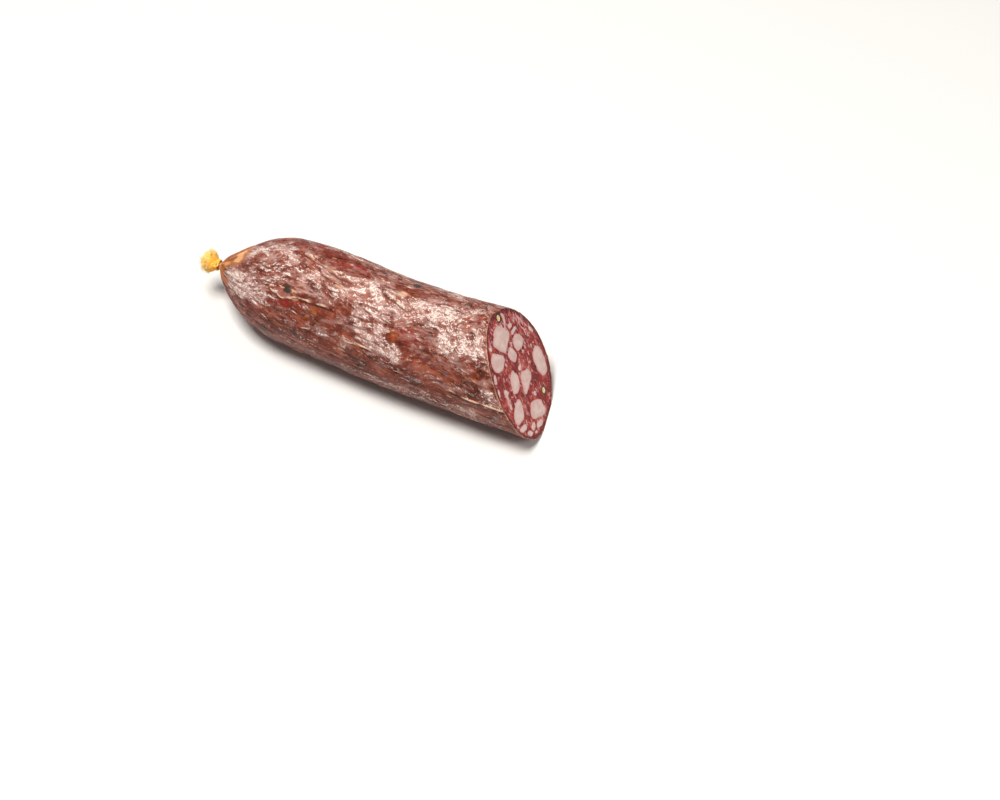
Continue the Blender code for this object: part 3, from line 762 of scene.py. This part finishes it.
def lean_material():
    """Minced lean with fine marbling, darker where it has dried by the skin."""
    made = Shader("minced_lean")
    place = made.place()
    torn = made.pushed(place, 420.0, 0.0011)
    upright = made.stretched(torn, (0.55, 1.10, 0.55))
    cloudy = made.noise(place, 170.0, 3.0, 0.6)
    strands = made.noise(upright, 520.0, 4.0, 0.6, 0.6)
    grainy = made.noise(torn, 1100.0, 4.0, 0.65)
    tone = made.sum((cloudy, 0.42), (strands, 0.38), (grainy, 0.20))
    colour = made.tinted((0.080, 0.002, 0.003), (0.215, 0.008, 0.008), tone, 0.38, 0.50)
    colour = made.tinted(colour, (0.400, 0.055, 0.040), tone, 0.50, 0.62)
    rim = made.attribute("rim")
    smears = made.noise(upright, 300.0, 3.0, 0.6, 0.8)
    smears = made.sum((smears, 0.8), (cloudy, 0.2), (made.attribute("marbling"), 0.040), (rim, -0.05))
    colour = made.tinted(colour, (0.480, 0.115, 0.092), smears, 0.50, 0.62, 0.0, 0.75)
    flecks = made.noise(upright, 800.0, 2.0, 0.5, 0.4)
    flecks = made.sum((flecks, 1.0), (cloudy, 0.25), (made.attribute("flecked"), 0.050), -0.125)
    flecks = made.step(flecks, 0.585, 0.650, 0.0, 0.85)
    colour = made.mix(colour, (0.580, 0.340, 0.340), flecks)
    colour = made.tinted(colour, (0.085, 0.003, 0.005), rim, 0.15, 0.95, 0.0, 0.80)
    relief = made.sum((grainy, 0.6), (strands, 0.6), (flecks, 0.2))
    roughness = made.sum((grainy, 0.35), (flecks, 0.08), 0.16)
    return made.finish(
        Base_Color=colour, Roughness=roughness, Normal=made.bump(relief, 0.0005, 0.8),
        Subsurface_Weight=0.12, Subsurface_Radius=(0.0018, 0.0004, 0.0003), Subsurface_Scale=1.0,
        Specular_IOR_Level=0.10,
    )


def fat_material():
    """Back fat: waxy, faintly mottled, pinker towards its edge and along a few soft veins."""
    made = Shader("back_fat")
    place = made.place()
    cloudy = made.noise(place, 260.0, 3.0, 0.6)
    grainy = made.noise(place, 1300.0, 3.0, 0.6)
    colour = made.tinted((0.500, 0.322, 0.298), (0.600, 0.442, 0.410), cloudy, 0.35, 0.65)
    veins = made.noise(made.pushed(place, 300.0, 0.0015), 330.0, 3.0, 0.6)
    veins = made.step(made.math("ABSOLUTE", made.math("SUBTRACT", veins, 0.5)), 0.0, 0.035, 1.0, 0.0)
    stained = made.math("MULTIPLY", veins, made.attribute("veined"))
    colour = made.mix(colour, (0.480, 0.170, 0.150), made.math("MULTIPLY", stained, 0.7))
    rim = made.sum((made.attribute("border"), 1.0), (cloudy, 0.7), -0.35)
    colour = made.tinted(colour, (0.500, 0.210, 0.190), rim, 0.74, 1.04, 0.0, 0.75)
    relief = made.sum((grainy, 0.5), (cloudy, 0.5))
    return made.finish(
        Base_Color=colour, Roughness=made.sum((grainy, 0.25), 0.25), Normal=made.bump(relief, 0.0003, 0.6),
        Subsurface_Weight=0.35, Subsurface_Radius=(0.0030, 0.0016, 0.0012), Subsurface_Scale=1.0,
        Specular_IOR_Level=0.5,
    )


def pepper_material():
    """Peppercorn: black wrinkled hull, and a cream kernel where it is cut."""
    made = Shader("peppercorn")
    place = made.place()
    grainy = made.noise(place, 1500.0, 3.0, 0.6)
    hull = made.tinted((0.010, 0.009, 0.008), (0.045, 0.038, 0.030), grainy, 0.40, 0.70)
    kernel = made.tinted((0.500, 0.300, 0.090), (0.860, 0.690, 0.380), grainy, 0.40, 0.60)
    cut = made.sum((made.attribute("kernel"), 1.0), (grainy, 0.3), -0.15)
    colour = made.tinted(hull, kernel, cut, 0.40, 0.55)
    return made.finish(
        Base_Color=colour, Roughness=made.sum((grainy, 0.3), 0.35), Normal=made.bump(grainy, 0.0003, 0.8),
        Specular_IOR_Level=0.2,
    )


def twine_material():
    """Golden natural twine, paler towards its frayed tips."""
    made = Shader("golden_twine")
    place = made.place()
    fibres = made.noise(place, 2600.0, 3.0, 0.6)
    colour = made.tinted((0.900, 0.370, 0.030), (1.000, 0.560, 0.100), fibres, 0.35, 0.65)
    paler = made.step(made.attribute("paler"), 0.15, 1.00, 0.0, 0.95)
    colour = made.mix(colour, (1.000, 0.780, 0.330), paler)
    return made.finish(
        Base_Color=colour, Roughness=made.sum((fibres, 0.2), 0.5), Normal=made.bump(fibres, 0.0002, 0.6),
        Subsurface_Weight=0.30, Subsurface_Radius=(0.0012, 0.0008, 0.0004), Subsurface_Scale=1.0,
        Specular_IOR_Level=0.25,
    )


# ======== Skin

def add_skin(material):
    """The gut: a thin closed shell with its edge at the cut, gathered into a stub at the neck."""
    evenly = np.linspace(LENGTH_ALONG[0], 0, SKIN_ROWS - 2)
    stations = np.interp(evenly, LENGTH_ALONG, LENGTH_X)
    stations = np.sort(np.concatenate([stations, [-0.12, -0.30]]))
    angles = np.arange(SKIN_COLUMNS) * TURN / SKIN_COLUMNS
    x, angle = np.meshgrid(stations, angles, indexing="ij")
    relief = skin_relief(x, angle)
    masks = skin_masks(x, angle)
    cut_lift = relief["lift"][-1]
    outer = body_surface(x, angle, relief["lift"], cut_lift)

    ragged = 0.05 + 0.08 * noise(skin_place(0 * angles, angles) / 1.6, 31)
    lip = []
    for depth, ahead in ((0.10, 0.8), (SKIN_THICKNESS - 0.08, 0.9), (SKIN_THICKNESS, 0.0)):
        ring = body_surface(0 * angles, angles, cut_lift - depth, cut_lift - depth, depth)
        lip.append(ring + CUT_NORMAL * (ahead * ragged)[:, None])
    inner_x, inner_angle = np.meshgrid(np.linspace(-1.5, -139.0, LINING_ROWS), angles, indexing="ij")
    inner_lift = skin_relief(inner_x, inner_angle)["lift"] - SKIN_THICKNESS
    inner = body_surface(inner_x, inner_angle, inner_lift, cut_lift - SKIN_THICKNESS, SKIN_THICKNESS)

    rows = np.concatenate([outer, lip, inner])
    points, faces = closed_rings(rows)

    def padded(values, beyond):
        """Values of the outer rows, carried on over the lip, the lining and the two hubs."""
        rest = rows.shape[0] - SKIN_ROWS
        tail = np.broadcast_to(beyond, (rest, *np.shape(values)[1:]))
        flat = np.concatenate([values, tail]).reshape(-1, *np.shape(values)[2:])
        return np.concatenate([flat, flat[:1], flat[-1:]])

    place = skin_place(x, angle)
    shades = {"skin": padded(place, place[-1]), "flow": padded(flowing(place), flowing(place)[-1])}
    for label in ("height", "fold", "crest", "groove_and_shade", "pepper", "fat"):
        shades[label] = padded(relief[label], relief[label][-1])
    for label in ("bloom", "crimson", "rust", "amber", "underside_shade"):
        shades[label] = padded(masks[label], masks[label][-1])
    # The cut edge's pale colour is its own; it is painted stronger over the lit top and near side, which is
    # painted light.
    lit = 0.35 + 0.65 * smooth_step(angles, 1.5, 2.2) * (1 - smooth_step(angles, 3.2, 4.0))
    edge = smooth_step(x, -0.5, -0.05) * 0.8 * lit
    shades["edge"] = padded(edge, np.broadcast_to(lit, (1, SKIN_COLUMNS)))
    return add_piece("gut_skin", add_mesh("gut_skin", points, faces, shades), material, "casing", "casing")


# ======== Cut face

def cut_outline(angles, depth):
    """Across and up, from the axis, of the section that lies this deep under the skin at the cut."""
    lift = skin_relief(0 * angles, angles)["lift"] - depth
    y, z = section(0 * angles, angles, lift, depth)
    return np.stack([y - AXIS_AT_CUT[0], z - AXIS_AT_CUT[1]], -1)


def on_cut(across_up, ahead):
    """Points of the cut at (across, up) from the axis, moved ahead of it along its normal."""
    across, up = np.moveaxis(across_up, -1, 0)
    flat = placed(cut_offset(across, up), AXIS_AT_CUT[0] + across, AXIS_AT_CUT[1] + up)
    return flat + CUT_NORMAL * np.asarray(ahead)[..., None]


def rounded(corners, shares):
    """The corners' outline with each corner cut off, once for each share of the sides that goes."""
    points = np.array(corners, float)
    for share in shares:
        following = np.roll(points, -1, axis=0)
        near = (1 - share) * points + share * following
        far = share * points + (1 - share) * following
        points = np.stack([near, far], 1).reshape(-1, 2)
    return points


def even_outline(points, step):
    """The closed outline read at an even spacing."""
    closed = np.vstack([points, points[:1]])
    lengths = running_length(closed)
    count = max(24, int(lengths[-1] / step))
    at = np.arange(count) * lengths[-1] / count
    return np.stack([np.interp(at, lengths, closed[:, i]) for i in (0, 1)], -1)


def turning(outline):
    """1 where the closed outline runs anticlockwise, -1 where it runs clockwise."""
    x, y = outline.T
    return np.sign(np.sum(x * np.roll(y, -1) - np.roll(x, -1) * y))


def outward_normals(outline):
    along = np.roll(outline, -1, axis=0) - np.roll(outline, 1, axis=0)
    normals = np.stack([along[:, 1], -along[:, 0]], 1)
    return turning(outline) * normals / np.linalg.norm(normals, axis=1)[:, None]


def fat_outline(corners, seed):
    """The cut outline of one piece of fat, with the uneven edge that a knife and a mincer leave."""
    outline = even_outline(rounded(corners, FAT_ROUNDING), FAT_STEP)
    outline = outline + FAT_REGROWN * outward_normals(outline)
    flat = np.concatenate([outline, np.full((len(outline), 1), float(seed))], 1)
    wave = 0.26 * noise(flat / 2.6, 41) + 0.14 * noise(flat / 1.1, 42)
    size = np.sqrt(np.prod(np.ptp(outline, axis=0)))
    return outline + outward_normals(outline) * (wave * min(1.0, size / 5))[:, None]


def distance_inside(points, outline):
    """How deep each point lies inside the outline; negative outside it."""
    starts, ends = outline, np.roll(outline, -1, axis=0)
    step = ends - starts
    offset = points[:, None] - starts
    share = np.clip(np.sum(offset * step, -1) / np.sum(step * step, -1), 0, 1)
    nearest = np.min(np.linalg.norm(offset - share[..., None] * step, axis=-1), axis=1)
    above = starts[:, 1] > points[:, None, 1]
    crossing = above != (ends[:, 1] > points[:, None, 1])
    rise = np.where(step[:, 1] == 0, 1, step[:, 1])
    reach = starts[:, 0] + (points[:, None, 1] - starts[:, 1]) * step[:, 0] / rise
    inside = np.sum(crossing & (points[:, None, 0] < reach), axis=1) % 2 == 1
    return np.where(inside, nearest, -nearest)


def distance_inside_near(points, outline):
    """distance_inside, worked out only for the points near the outline."""
    low, high = outline.min(0) - 1, outline.max(0) + 1
    near = np.all((points > low) & (points < high), axis=1)
    found = np.full(len(points), -1.0)
    found[near] = distance_inside(points[near], outline)
    return found


def disc_grid(side):
    """An even grid of quads over a disc, as (radius share, angle), with the numbers of its border."""
    u, v = np.meshgrid(np.linspace(-1, 1, side + 1), np.linspace(-1, 1, side + 1), indexing="ij")
    wide = np.abs(u) > np.abs(v)
    radius = np.where(wide, u, v)
    safe = np.where(radius == 0, 1, radius)
    angle = np.where(wide, np.pi / 4 * v / safe, np.pi / 2 - np.pi / 4 * u / safe)
    angle = angle + np.where(radius < 0, np.pi, 0)
    number = np.arange((side + 1) ** 2).reshape(side + 1, side + 1)
    faces = np.stack([number[:-1, :-1], number[1:, :-1], number[1:, 1:], number[:-1, 1:]], -1).reshape(-1, 4)
    border = np.concatenate([number[:-1, 0], number[-1, :-1], number[:0:-1, -1], number[0, :0:-1]])
    return np.abs(radius).ravel(), angle.ravel() % TURN, faces, border


def add_filling(material, outlines):
    """The lean: a finely worked cut face with a bed under each piece of fat, and its hidden body."""
    share, angle, faces, border = disc_grid(FACE_SIDE)
    rim_points = cut_outline(angle, FACE_DEPTH)
    flat = rim_points * share[:, None]
    inside = np.max([distance_inside_near(flat, outline) for outline in outlines], axis=0)
    for spot in CUT_PEPPERS.values():
        inside = np.maximum(inside, CUT_PEPPER_RADIUS - np.linalg.norm(flat - spot, axis=1) - 0.15)
    bed = smooth_step(inside, 0.12, 0.55)
    place = np.concatenate([flat, 0 * flat[:, :1]], 1)
    to_rim = np.linalg.norm(rim_points, axis=1) * (1 - share)
    rim = np.exp(-((to_rim / (1.6 + 0.8 * noise(place / 5, 53))) ** 2))
    grain = 0.07 * noise(place / 1.5, 51) + 0.05 * noise(place / 0.8, 52) + 0.10 * noise(place / 6, 54)
    face = on_cut(flat, grain * (1 - bed) - 0.7 * bed - 0.05 * rim)
    middle = np.exp(-np.sum(((flat - (2, 2)) / 9) ** 2, axis=1))
    marbling = noise(place / 8, 55) + 1.2 * middle
    flecked = noise(place / 7, 56) + 0.9 * smooth_step(flat @ (0.8, 0.5), 2, 14)

    rings = []
    ring_angle = angle[border]
    for x, under in FILLING_RINGS:
        lift = skin_relief(x + 0 * ring_angle, ring_angle)["lift"] - under
        cut_lift = skin_relief(0 * ring_angle, ring_angle)["lift"] - under
        rings.append(body_surface(x + 0 * ring_angle, ring_angle, lift, cut_lift, under))
    rings = np.array(rings)
    points = np.concatenate([face, rings.reshape(-1, 3), rings[-1].mean(0)[None]])
    count, columns = len(face), len(border)
    first_ring = count + np.arange(columns)
    following = np.roll(border, -1)
    joint = np.stack([border, following, np.roll(first_ring, -1), first_ring], -1)
    last_ring = first_ring + columns * (len(rings) - 1)
    groups = [
        faces[:, ::-1], joint[:, ::-1], strip_faces(len(rings), columns, count)[:, ::-1],
        fan_faces(last_ring, len(points) - 1, flip=True),
    ]
    extra = len(points) - count
    shades = {
        "rim": np.concatenate([rim, np.ones(extra)]),
        "marbling": np.concatenate([marbling, np.zeros(extra)]),
        "flecked": np.concatenate([flecked, np.zeros(extra)]),
    }
    mesh = add_mesh("lean_filling", points, groups, shades)
    return add_piece("lean_filling", mesh, material, "lean", "filling")


def add_fat(number, corners, outline, material):
    """One diced piece of fat: a faintly domed cut face whose edge dips under the lean."""
    middle = outline.mean(0)
    width = np.sqrt(np.prod(np.ptp(rounded(corners, (0.25,)), axis=0)))
    depth = FAT_DEPTH_SHARE * width
    rings, borders = [], []
    for share, ahead in FAT_LEVELS:
        flat = middle + (outline - middle) * share
        spot = np.concatenate([flat, np.full((len(flat), 1), 0.7 * number)], 1)
        rings.append(on_cut(flat, ahead + (share < 0.98) * 0.03 * noise(spot / 1.3, 61)))
        borders.append(np.full(len(flat), share))
    for share, back in ((1.0, 0.45 * depth), (FAT_TAPER, depth)):
        flat = middle + (outline - middle) * share
        across, up = flat.T
        back = max(back, 0.9)
        along = cut_offset(across, up) - back
        rings.append(placed(along, AXIS_AT_CUT[0] + across, AXIS_AT_CUT[1] + up))
        borders.append(np.ones(len(flat)))
    points, groups = closed_rings(rings)
    points[-2] = on_cut(middle, FAT_DOME)
    if turning(outline) > 0:
        groups = turned_over(groups)
    amount = FAT_VEINED[number - 1] if number <= len(FAT_VEINED) else USUALLY_VEINED
    shades = {
        "border": np.concatenate([*borders, [0.0, 1.0]]),
        "veined": np.full(len(points), amount),
    }
    name = f"fat_piece_{number:02d}"
    return add_piece(name, add_mesh(name, points, groups, shades), material, "fat", f"fat_{number:02d}")


# ======== Peppercorns and the fat under the skin

def ball_points(rows, columns):
    """Directions over a ball, row by row from its north pole, without the poles."""
    polar, round_it = np.meshgrid(
        np.pi * (np.arange(rows) + 1) / (rows + 1), TURN * np.arange(columns) / columns, indexing="ij"
    )
    return np.stack([np.sin(polar) * np.cos(round_it), np.sin(polar) * np.sin(round_it), np.cos(polar)], -1)


def wrinkled(directions, seed):
    """How far out a dried peppercorn's hull stands, as a share of its radius."""
    ridges = 1 - np.abs(noise(directions * 2.6 + seed, 71)) * 2
    return 1 + 0.05 * ridges - 0.04


def add_half_pepper(name, spot, material):
    """A peppercorn halved by the cut: dished cream kernel inside a thin black hull."""
    across = np.array((-np.sin(CUT_TURN), np.cos(CUT_TURN), 0.0))
    up = np.cross(CUT_NORMAL, across)
    turn = TURN * np.arange(HALF_PEPPER_SIDES) / HALF_PEPPER_SIDES
    seed = len(name) + spot[0]
    rings, kernel = [], []
    for share, ahead in PEPPER_LEVELS:
        flat = np.stack([share * np.cos(turn), share * np.sin(turn), 0 * turn], -1)
        rough = 0.05 * noise(flat * 4 + seed, 72)
        rings.append((flat * CUT_PEPPER_RADIUS * wrinkled(flat, seed)[:, None], ahead + rough))
        kernel.append(np.full(len(turn), 1.0 if share < KERNEL_SHARE else 0.0))
    for polar in np.linspace(1.62, 2.9, 9):
        wide, deep = np.sin(polar), np.cos(polar)
        ball = np.stack([wide * np.cos(turn), wide * np.sin(turn), deep + 0 * turn], -1)
        grown = ball * CUT_PEPPER_RADIUS * wrinkled(ball, seed)[:, None]
        rings.append((grown, 0 * turn))
        kernel.append(np.zeros(len(turn)))
    middle = on_cut(np.array(spot), 0.0)
    rows = [
        middle + ring[:, :1] * across + ring[:, 1:2] * up + (ring[:, 2:] + ahead[:, None]) * CUT_NORMAL
        for ring, ahead in rings
    ]
    points, groups = closed_rings(rows)
    shades = {"kernel": np.concatenate([*kernel, [1.0, 0.0]])}
    mesh = add_mesh(name, points, turned_over(groups), shades)
    return add_piece(name + "_kernel", mesh, material, "peppercorn", name)


def add_buried_ball(name, spot, size, material, slot, node):
    """A wrinkled ball that presses up under the skin."""
    x, angle = spot[0], np.radians(spot[1])
    y, z = centre_of(x)
    outward = np.array((0.0, np.cos(angle), np.sin(angle)))
    around = np.array((0.0, -np.sin(angle), np.cos(angle)))
    middle = placed(x, y, z) + outward * (radius_at(x) * lobes(angle) - size[2] - SKIN_THICKNESS)
    directions = ball_points(BALL_ROWS, BALL_COLUMNS)
    directions = np.concatenate([directions.reshape(-1, 3), [(0, 0, 1), (0, 0, -1)]])
    grown = directions * np.array(size) * wrinkled(directions, spot[0])[:, None]
    points = middle + grown[:, :1] * np.array((1.0, 0, 0)) + grown[:, 1:2] * around + grown[:, 2:] * outward
    shades = {label: np.zeros(len(points)) for label in ("kernel", "border", "veined")}
    mesh = add_mesh(name, points, closed_faces(BALL_ROWS, BALL_COLUMNS), shades)
    return add_piece(name, mesh, material, slot, node)


# ======== Tie

def tube(path, radii, sides, profile=None):
    """Rings of a tube along a path; profile gives each ring's share of its radius round it."""
    tangents = np.gradient(path, axis=0)
    tangents /= np.linalg.norm(tangents, axis=1)[:, None]
    normal = np.cross(tangents[0], (0.3, 0.5, 0.81))
    turn = TURN * np.arange(sides) / sides
    rings = []
    for i, (point, tangent, radius) in enumerate(zip(path, tangents, radii)):
        normal = normal - tangent * (normal @ tangent)
        normal /= np.linalg.norm(normal)
        binormal = np.cross(tangent, normal)
        share = profile(turn, i) if profile else 1.0
        reach = (radius * share * np.ones(sides))[:, None]
        rings.append(point + reach * (np.cos(turn)[:, None] * normal + np.sin(turn)[:, None] * binormal))
    return np.array(rings)


def plies(turn, i):
    """Section of two plies laid side by side."""
    return 0.72 + 0.28 * np.abs(np.cos(turn - PLY_TWIST * i)) ** 0.8


def add_tie(material):
    """Three turns of two-ply twine round the neck and the knot that holds them."""
    neck = placed(NECK_X, *centre_of(NECK_X))
    turn = np.linspace(0, TURN * TURNS, 54 * TURNS)
    along = TIE_X - NECK_X + TWINE * (0.5 + turn / TURN * (TURNS - 1) / TURNS)
    reach = NECK_RADIUS + 0.42 * TWINE
    coil = neck + np.stack([along, reach * np.cos(turn + KNOT_ANGLE), reach * np.sin(turn + KNOT_ANGLE)], -1)
    lap = np.linspace(0, TURN, 110)
    wave = 2 + np.cos(3 * lap)
    outward = np.array((0.0, np.cos(KNOT_ANGLE), np.sin(KNOT_ANGLE)))
    around = np.array((0.0, -np.sin(KNOT_ANGLE), np.cos(KNOT_ANGLE)))
    middle = neck + (TIE_X - NECK_X + 0.5 * TURNS * TWINE, 0, 0) + outward * (reach + 0.75)
    knot = (
        middle + (wave * np.cos(2 * lap) / 3 * KNOT_SIZE[0])[:, None] * np.array((1.0, 0, 0))
        + (wave * np.sin(2 * lap) / 3 * KNOT_SIZE[1])[:, None] * around
        + (np.sin(3 * lap) / 2 * KNOT_SIZE[2])[:, None] * outward
    )
    points, groups, first = [], [], 0
    for path in (coil, knot):
        rings = tube(path, np.full(len(path), 0.5 * TWINE), TWINE_SIDES, plies)
        made, faces = closed_rings(rings, first)
        points.append(made)
        groups += faces
        first += len(made)
    points = np.concatenate(points)
    shades = {"paler": np.clip(0.25 + 0.6 * noise(points / 1.5, 81), 0, 1)}
    mesh = add_mesh("twine_tie", points, groups, shades)
    return add_piece("twine_tie", mesh, material, "twine", "tie_string")


def add_tuft(material):
    """The twine's frayed ends: a dense brush of fibres that fan out behind the tie."""
    draw = np.random.default_rng(9)
    root = placed(TIE_X + TUFT_ROOT, *centre_of(NECK_X))
    back, reach = smooth_row(TUFT_CORE, TUFT_CORE_ROWS)
    turn = TURN * np.arange(TUFT_CORE_SIDES) / TUFT_CORE_SIDES
    lock = np.stack([np.cos(turn), np.sin(turn), 0 * turn], -1)
    strands = 0.07 * noise(lock * 9, 91) + 0.04 * noise(lock * 22, 92) + 0.10 * noise(lock * 3, 93)
    rings = []
    for away, radius in zip(back, reach):
        ring = radius * (1 + strands * np.clip(away / 2, 0, 1))
        rise = max(TUFT_RISE * away / TUFT_LENGTH, 0)
        across, up = ring * np.cos(turn), ring * np.sin(turn) + rise
        rings.append(root + np.stack([-away + 0 * turn, across, up], -1))
    made, groups = closed_rings(rings)
    points, first = [made], len(made)
    tips = np.repeat(back / back[-1], TUFT_CORE_SIDES)
    lighter = np.tile(3 * strands, len(back))
    shades = [np.clip(np.concatenate([0.6 * tips + lighter, [0, 1]]), 0, 1)]
    for clump in range(TUFT_CLUMPS):
        azimuth, tilt = draw.uniform(0, TURN), TUFT_SPREAD * draw.uniform(0, 1) ** 0.75
        clump_length = TUFT_LENGTH * (1 - 0.26 * (tilt / TUFT_SPREAD) ** 2) * draw.uniform(0.82, 1.05)
        clump_tone = draw.uniform(-0.1, 0.3)
        for _ in range(TUFT_FIBRES):
            side, lean = azimuth + draw.normal(0, 0.22), tilt + draw.normal(0, 0.09)
            length = clump_length * draw.uniform(0.8, 1.08)
            curl = draw.normal(0, 0.35, 2)
            t = np.linspace(0, 1, FIBRE_POINTS)
            opening = lean * (0.60 + 0.40 * t)
            spread = 1.4 * smooth_step(t, 0, 0.3) + 0.85 * length * t * np.sin(opening)
            path = root + np.stack([
                -length * t * np.cos(opening),
                spread * np.cos(side) + curl[0] * t**2,
                spread * np.sin(side) + curl[1] * t**2 + TUFT_RISE * t,
            ], -1)
            made, faces = closed_rings(tube(path, 0.22 - 0.15 * t, FIBRE_SIDES), first)
            points.append(made)
            groups += faces
            first += len(made)
            tip = np.repeat(t, FIBRE_SIDES)
            shades.append(np.clip(0.75 * np.concatenate([tip, [0, 1]]) ** 1.3 + clump_tone, 0, 1))
    mesh = add_mesh("twine_tuft", np.concatenate(points), groups, {"paler": np.concatenate(shades)})
    return add_piece("twine_tuft", mesh, material, "twine", "string_tuft")


# ======== Stage

def add_floor():
    mesh = bpy.data.meshes.new("floor")
    side = FLOOR_HALF_SIDE
    corners = [(-side, -side, 0), (side, -side, 0), (side, side, 0), (-side, side, 0)]
    mesh.from_pydata(corners, [], [(0, 1, 2, 3)])
    floor = add_object("floor", mesh)
    pale = Shader("pale_floor")
    mesh.materials.append(pale.finish(Base_Color=FLOOR_COLOUR, Roughness=FLOOR_ROUGHNESS))


def add_camera():
    data = bpy.data.cameras.new("camera")
    data.lens, data.sensor_width = CAMERA_LENS, CAMERA_SENSOR
    camera = add_object("camera", data)
    flat = np.cos(CAMERA_ELEVATION)
    back = Vector((np.sin(CAMERA_AZIMUTH) * flat, -np.cos(CAMERA_AZIMUTH) * flat, np.sin(CAMERA_ELEVATION)))
    camera.location = Vector(CAMERA_TARGET) + back * CAMERA_DISTANCE
    camera.rotation_euler = (-back).to_track_quat("-Z", "Y").to_euler()
    bpy.context.scene.camera = camera


def add_softbox(name, place, size, power):
    data = bpy.data.lights.new(name, "AREA")
    data.shape = "RECTANGLE"
    data.size, data.size_y = size
    data.energy = power
    data.color = LIGHT_COLOUR
    light = add_object(name, data)
    light.location = place
    light.rotation_euler = (-Vector(place)).to_track_quat("-Z", "Y").to_euler()


def add_studio():
    world = bpy.data.worlds.new("studio")
    bpy.context.scene.world = world
    world.use_nodes = True
    background = world.node_tree.nodes["Background"]
    background.inputs["Color"].default_value = WORLD_COLOUR
    background.inputs["Strength"].default_value = WORLD_STRENGTH
    for name, (place, size, power) in SOFTBOXES.items():
        add_softbox(name, place, size, power)
    bpy.context.scene.view_settings.view_transform = "Standard"


# ======== The scene

def main():
    add_camera()
    add_studio()
    add_floor()
    add_skin(skin_material())
    outlines = [fat_outline(corners, number) for number, corners in enumerate(FAT_CORNERS, start=1)]
    add_filling(lean_material(), outlines)
    fat, pepper, twine = fat_material(), pepper_material(), twine_material()
    for number, (corners, outline) in enumerate(zip(FAT_CORNERS, outlines), start=1):
        add_fat(number, corners, outline, fat)
    for name, spot in CUT_PEPPERS.items():
        add_half_pepper(name, spot, pepper)
    for name, spot in SKIN_PEPPERS.items():
        add_buried_ball(name + "_whole", spot, (PEPPER_RADIUS,) * 3, pepper, "peppercorn", name)
    add_buried_ball("skin_fat_piece", SKIN_FAT, SKIN_FAT_SIZE, fat, "fat", "skin_fat")
    add_tie(twine)
    add_tuft(twine)


main()
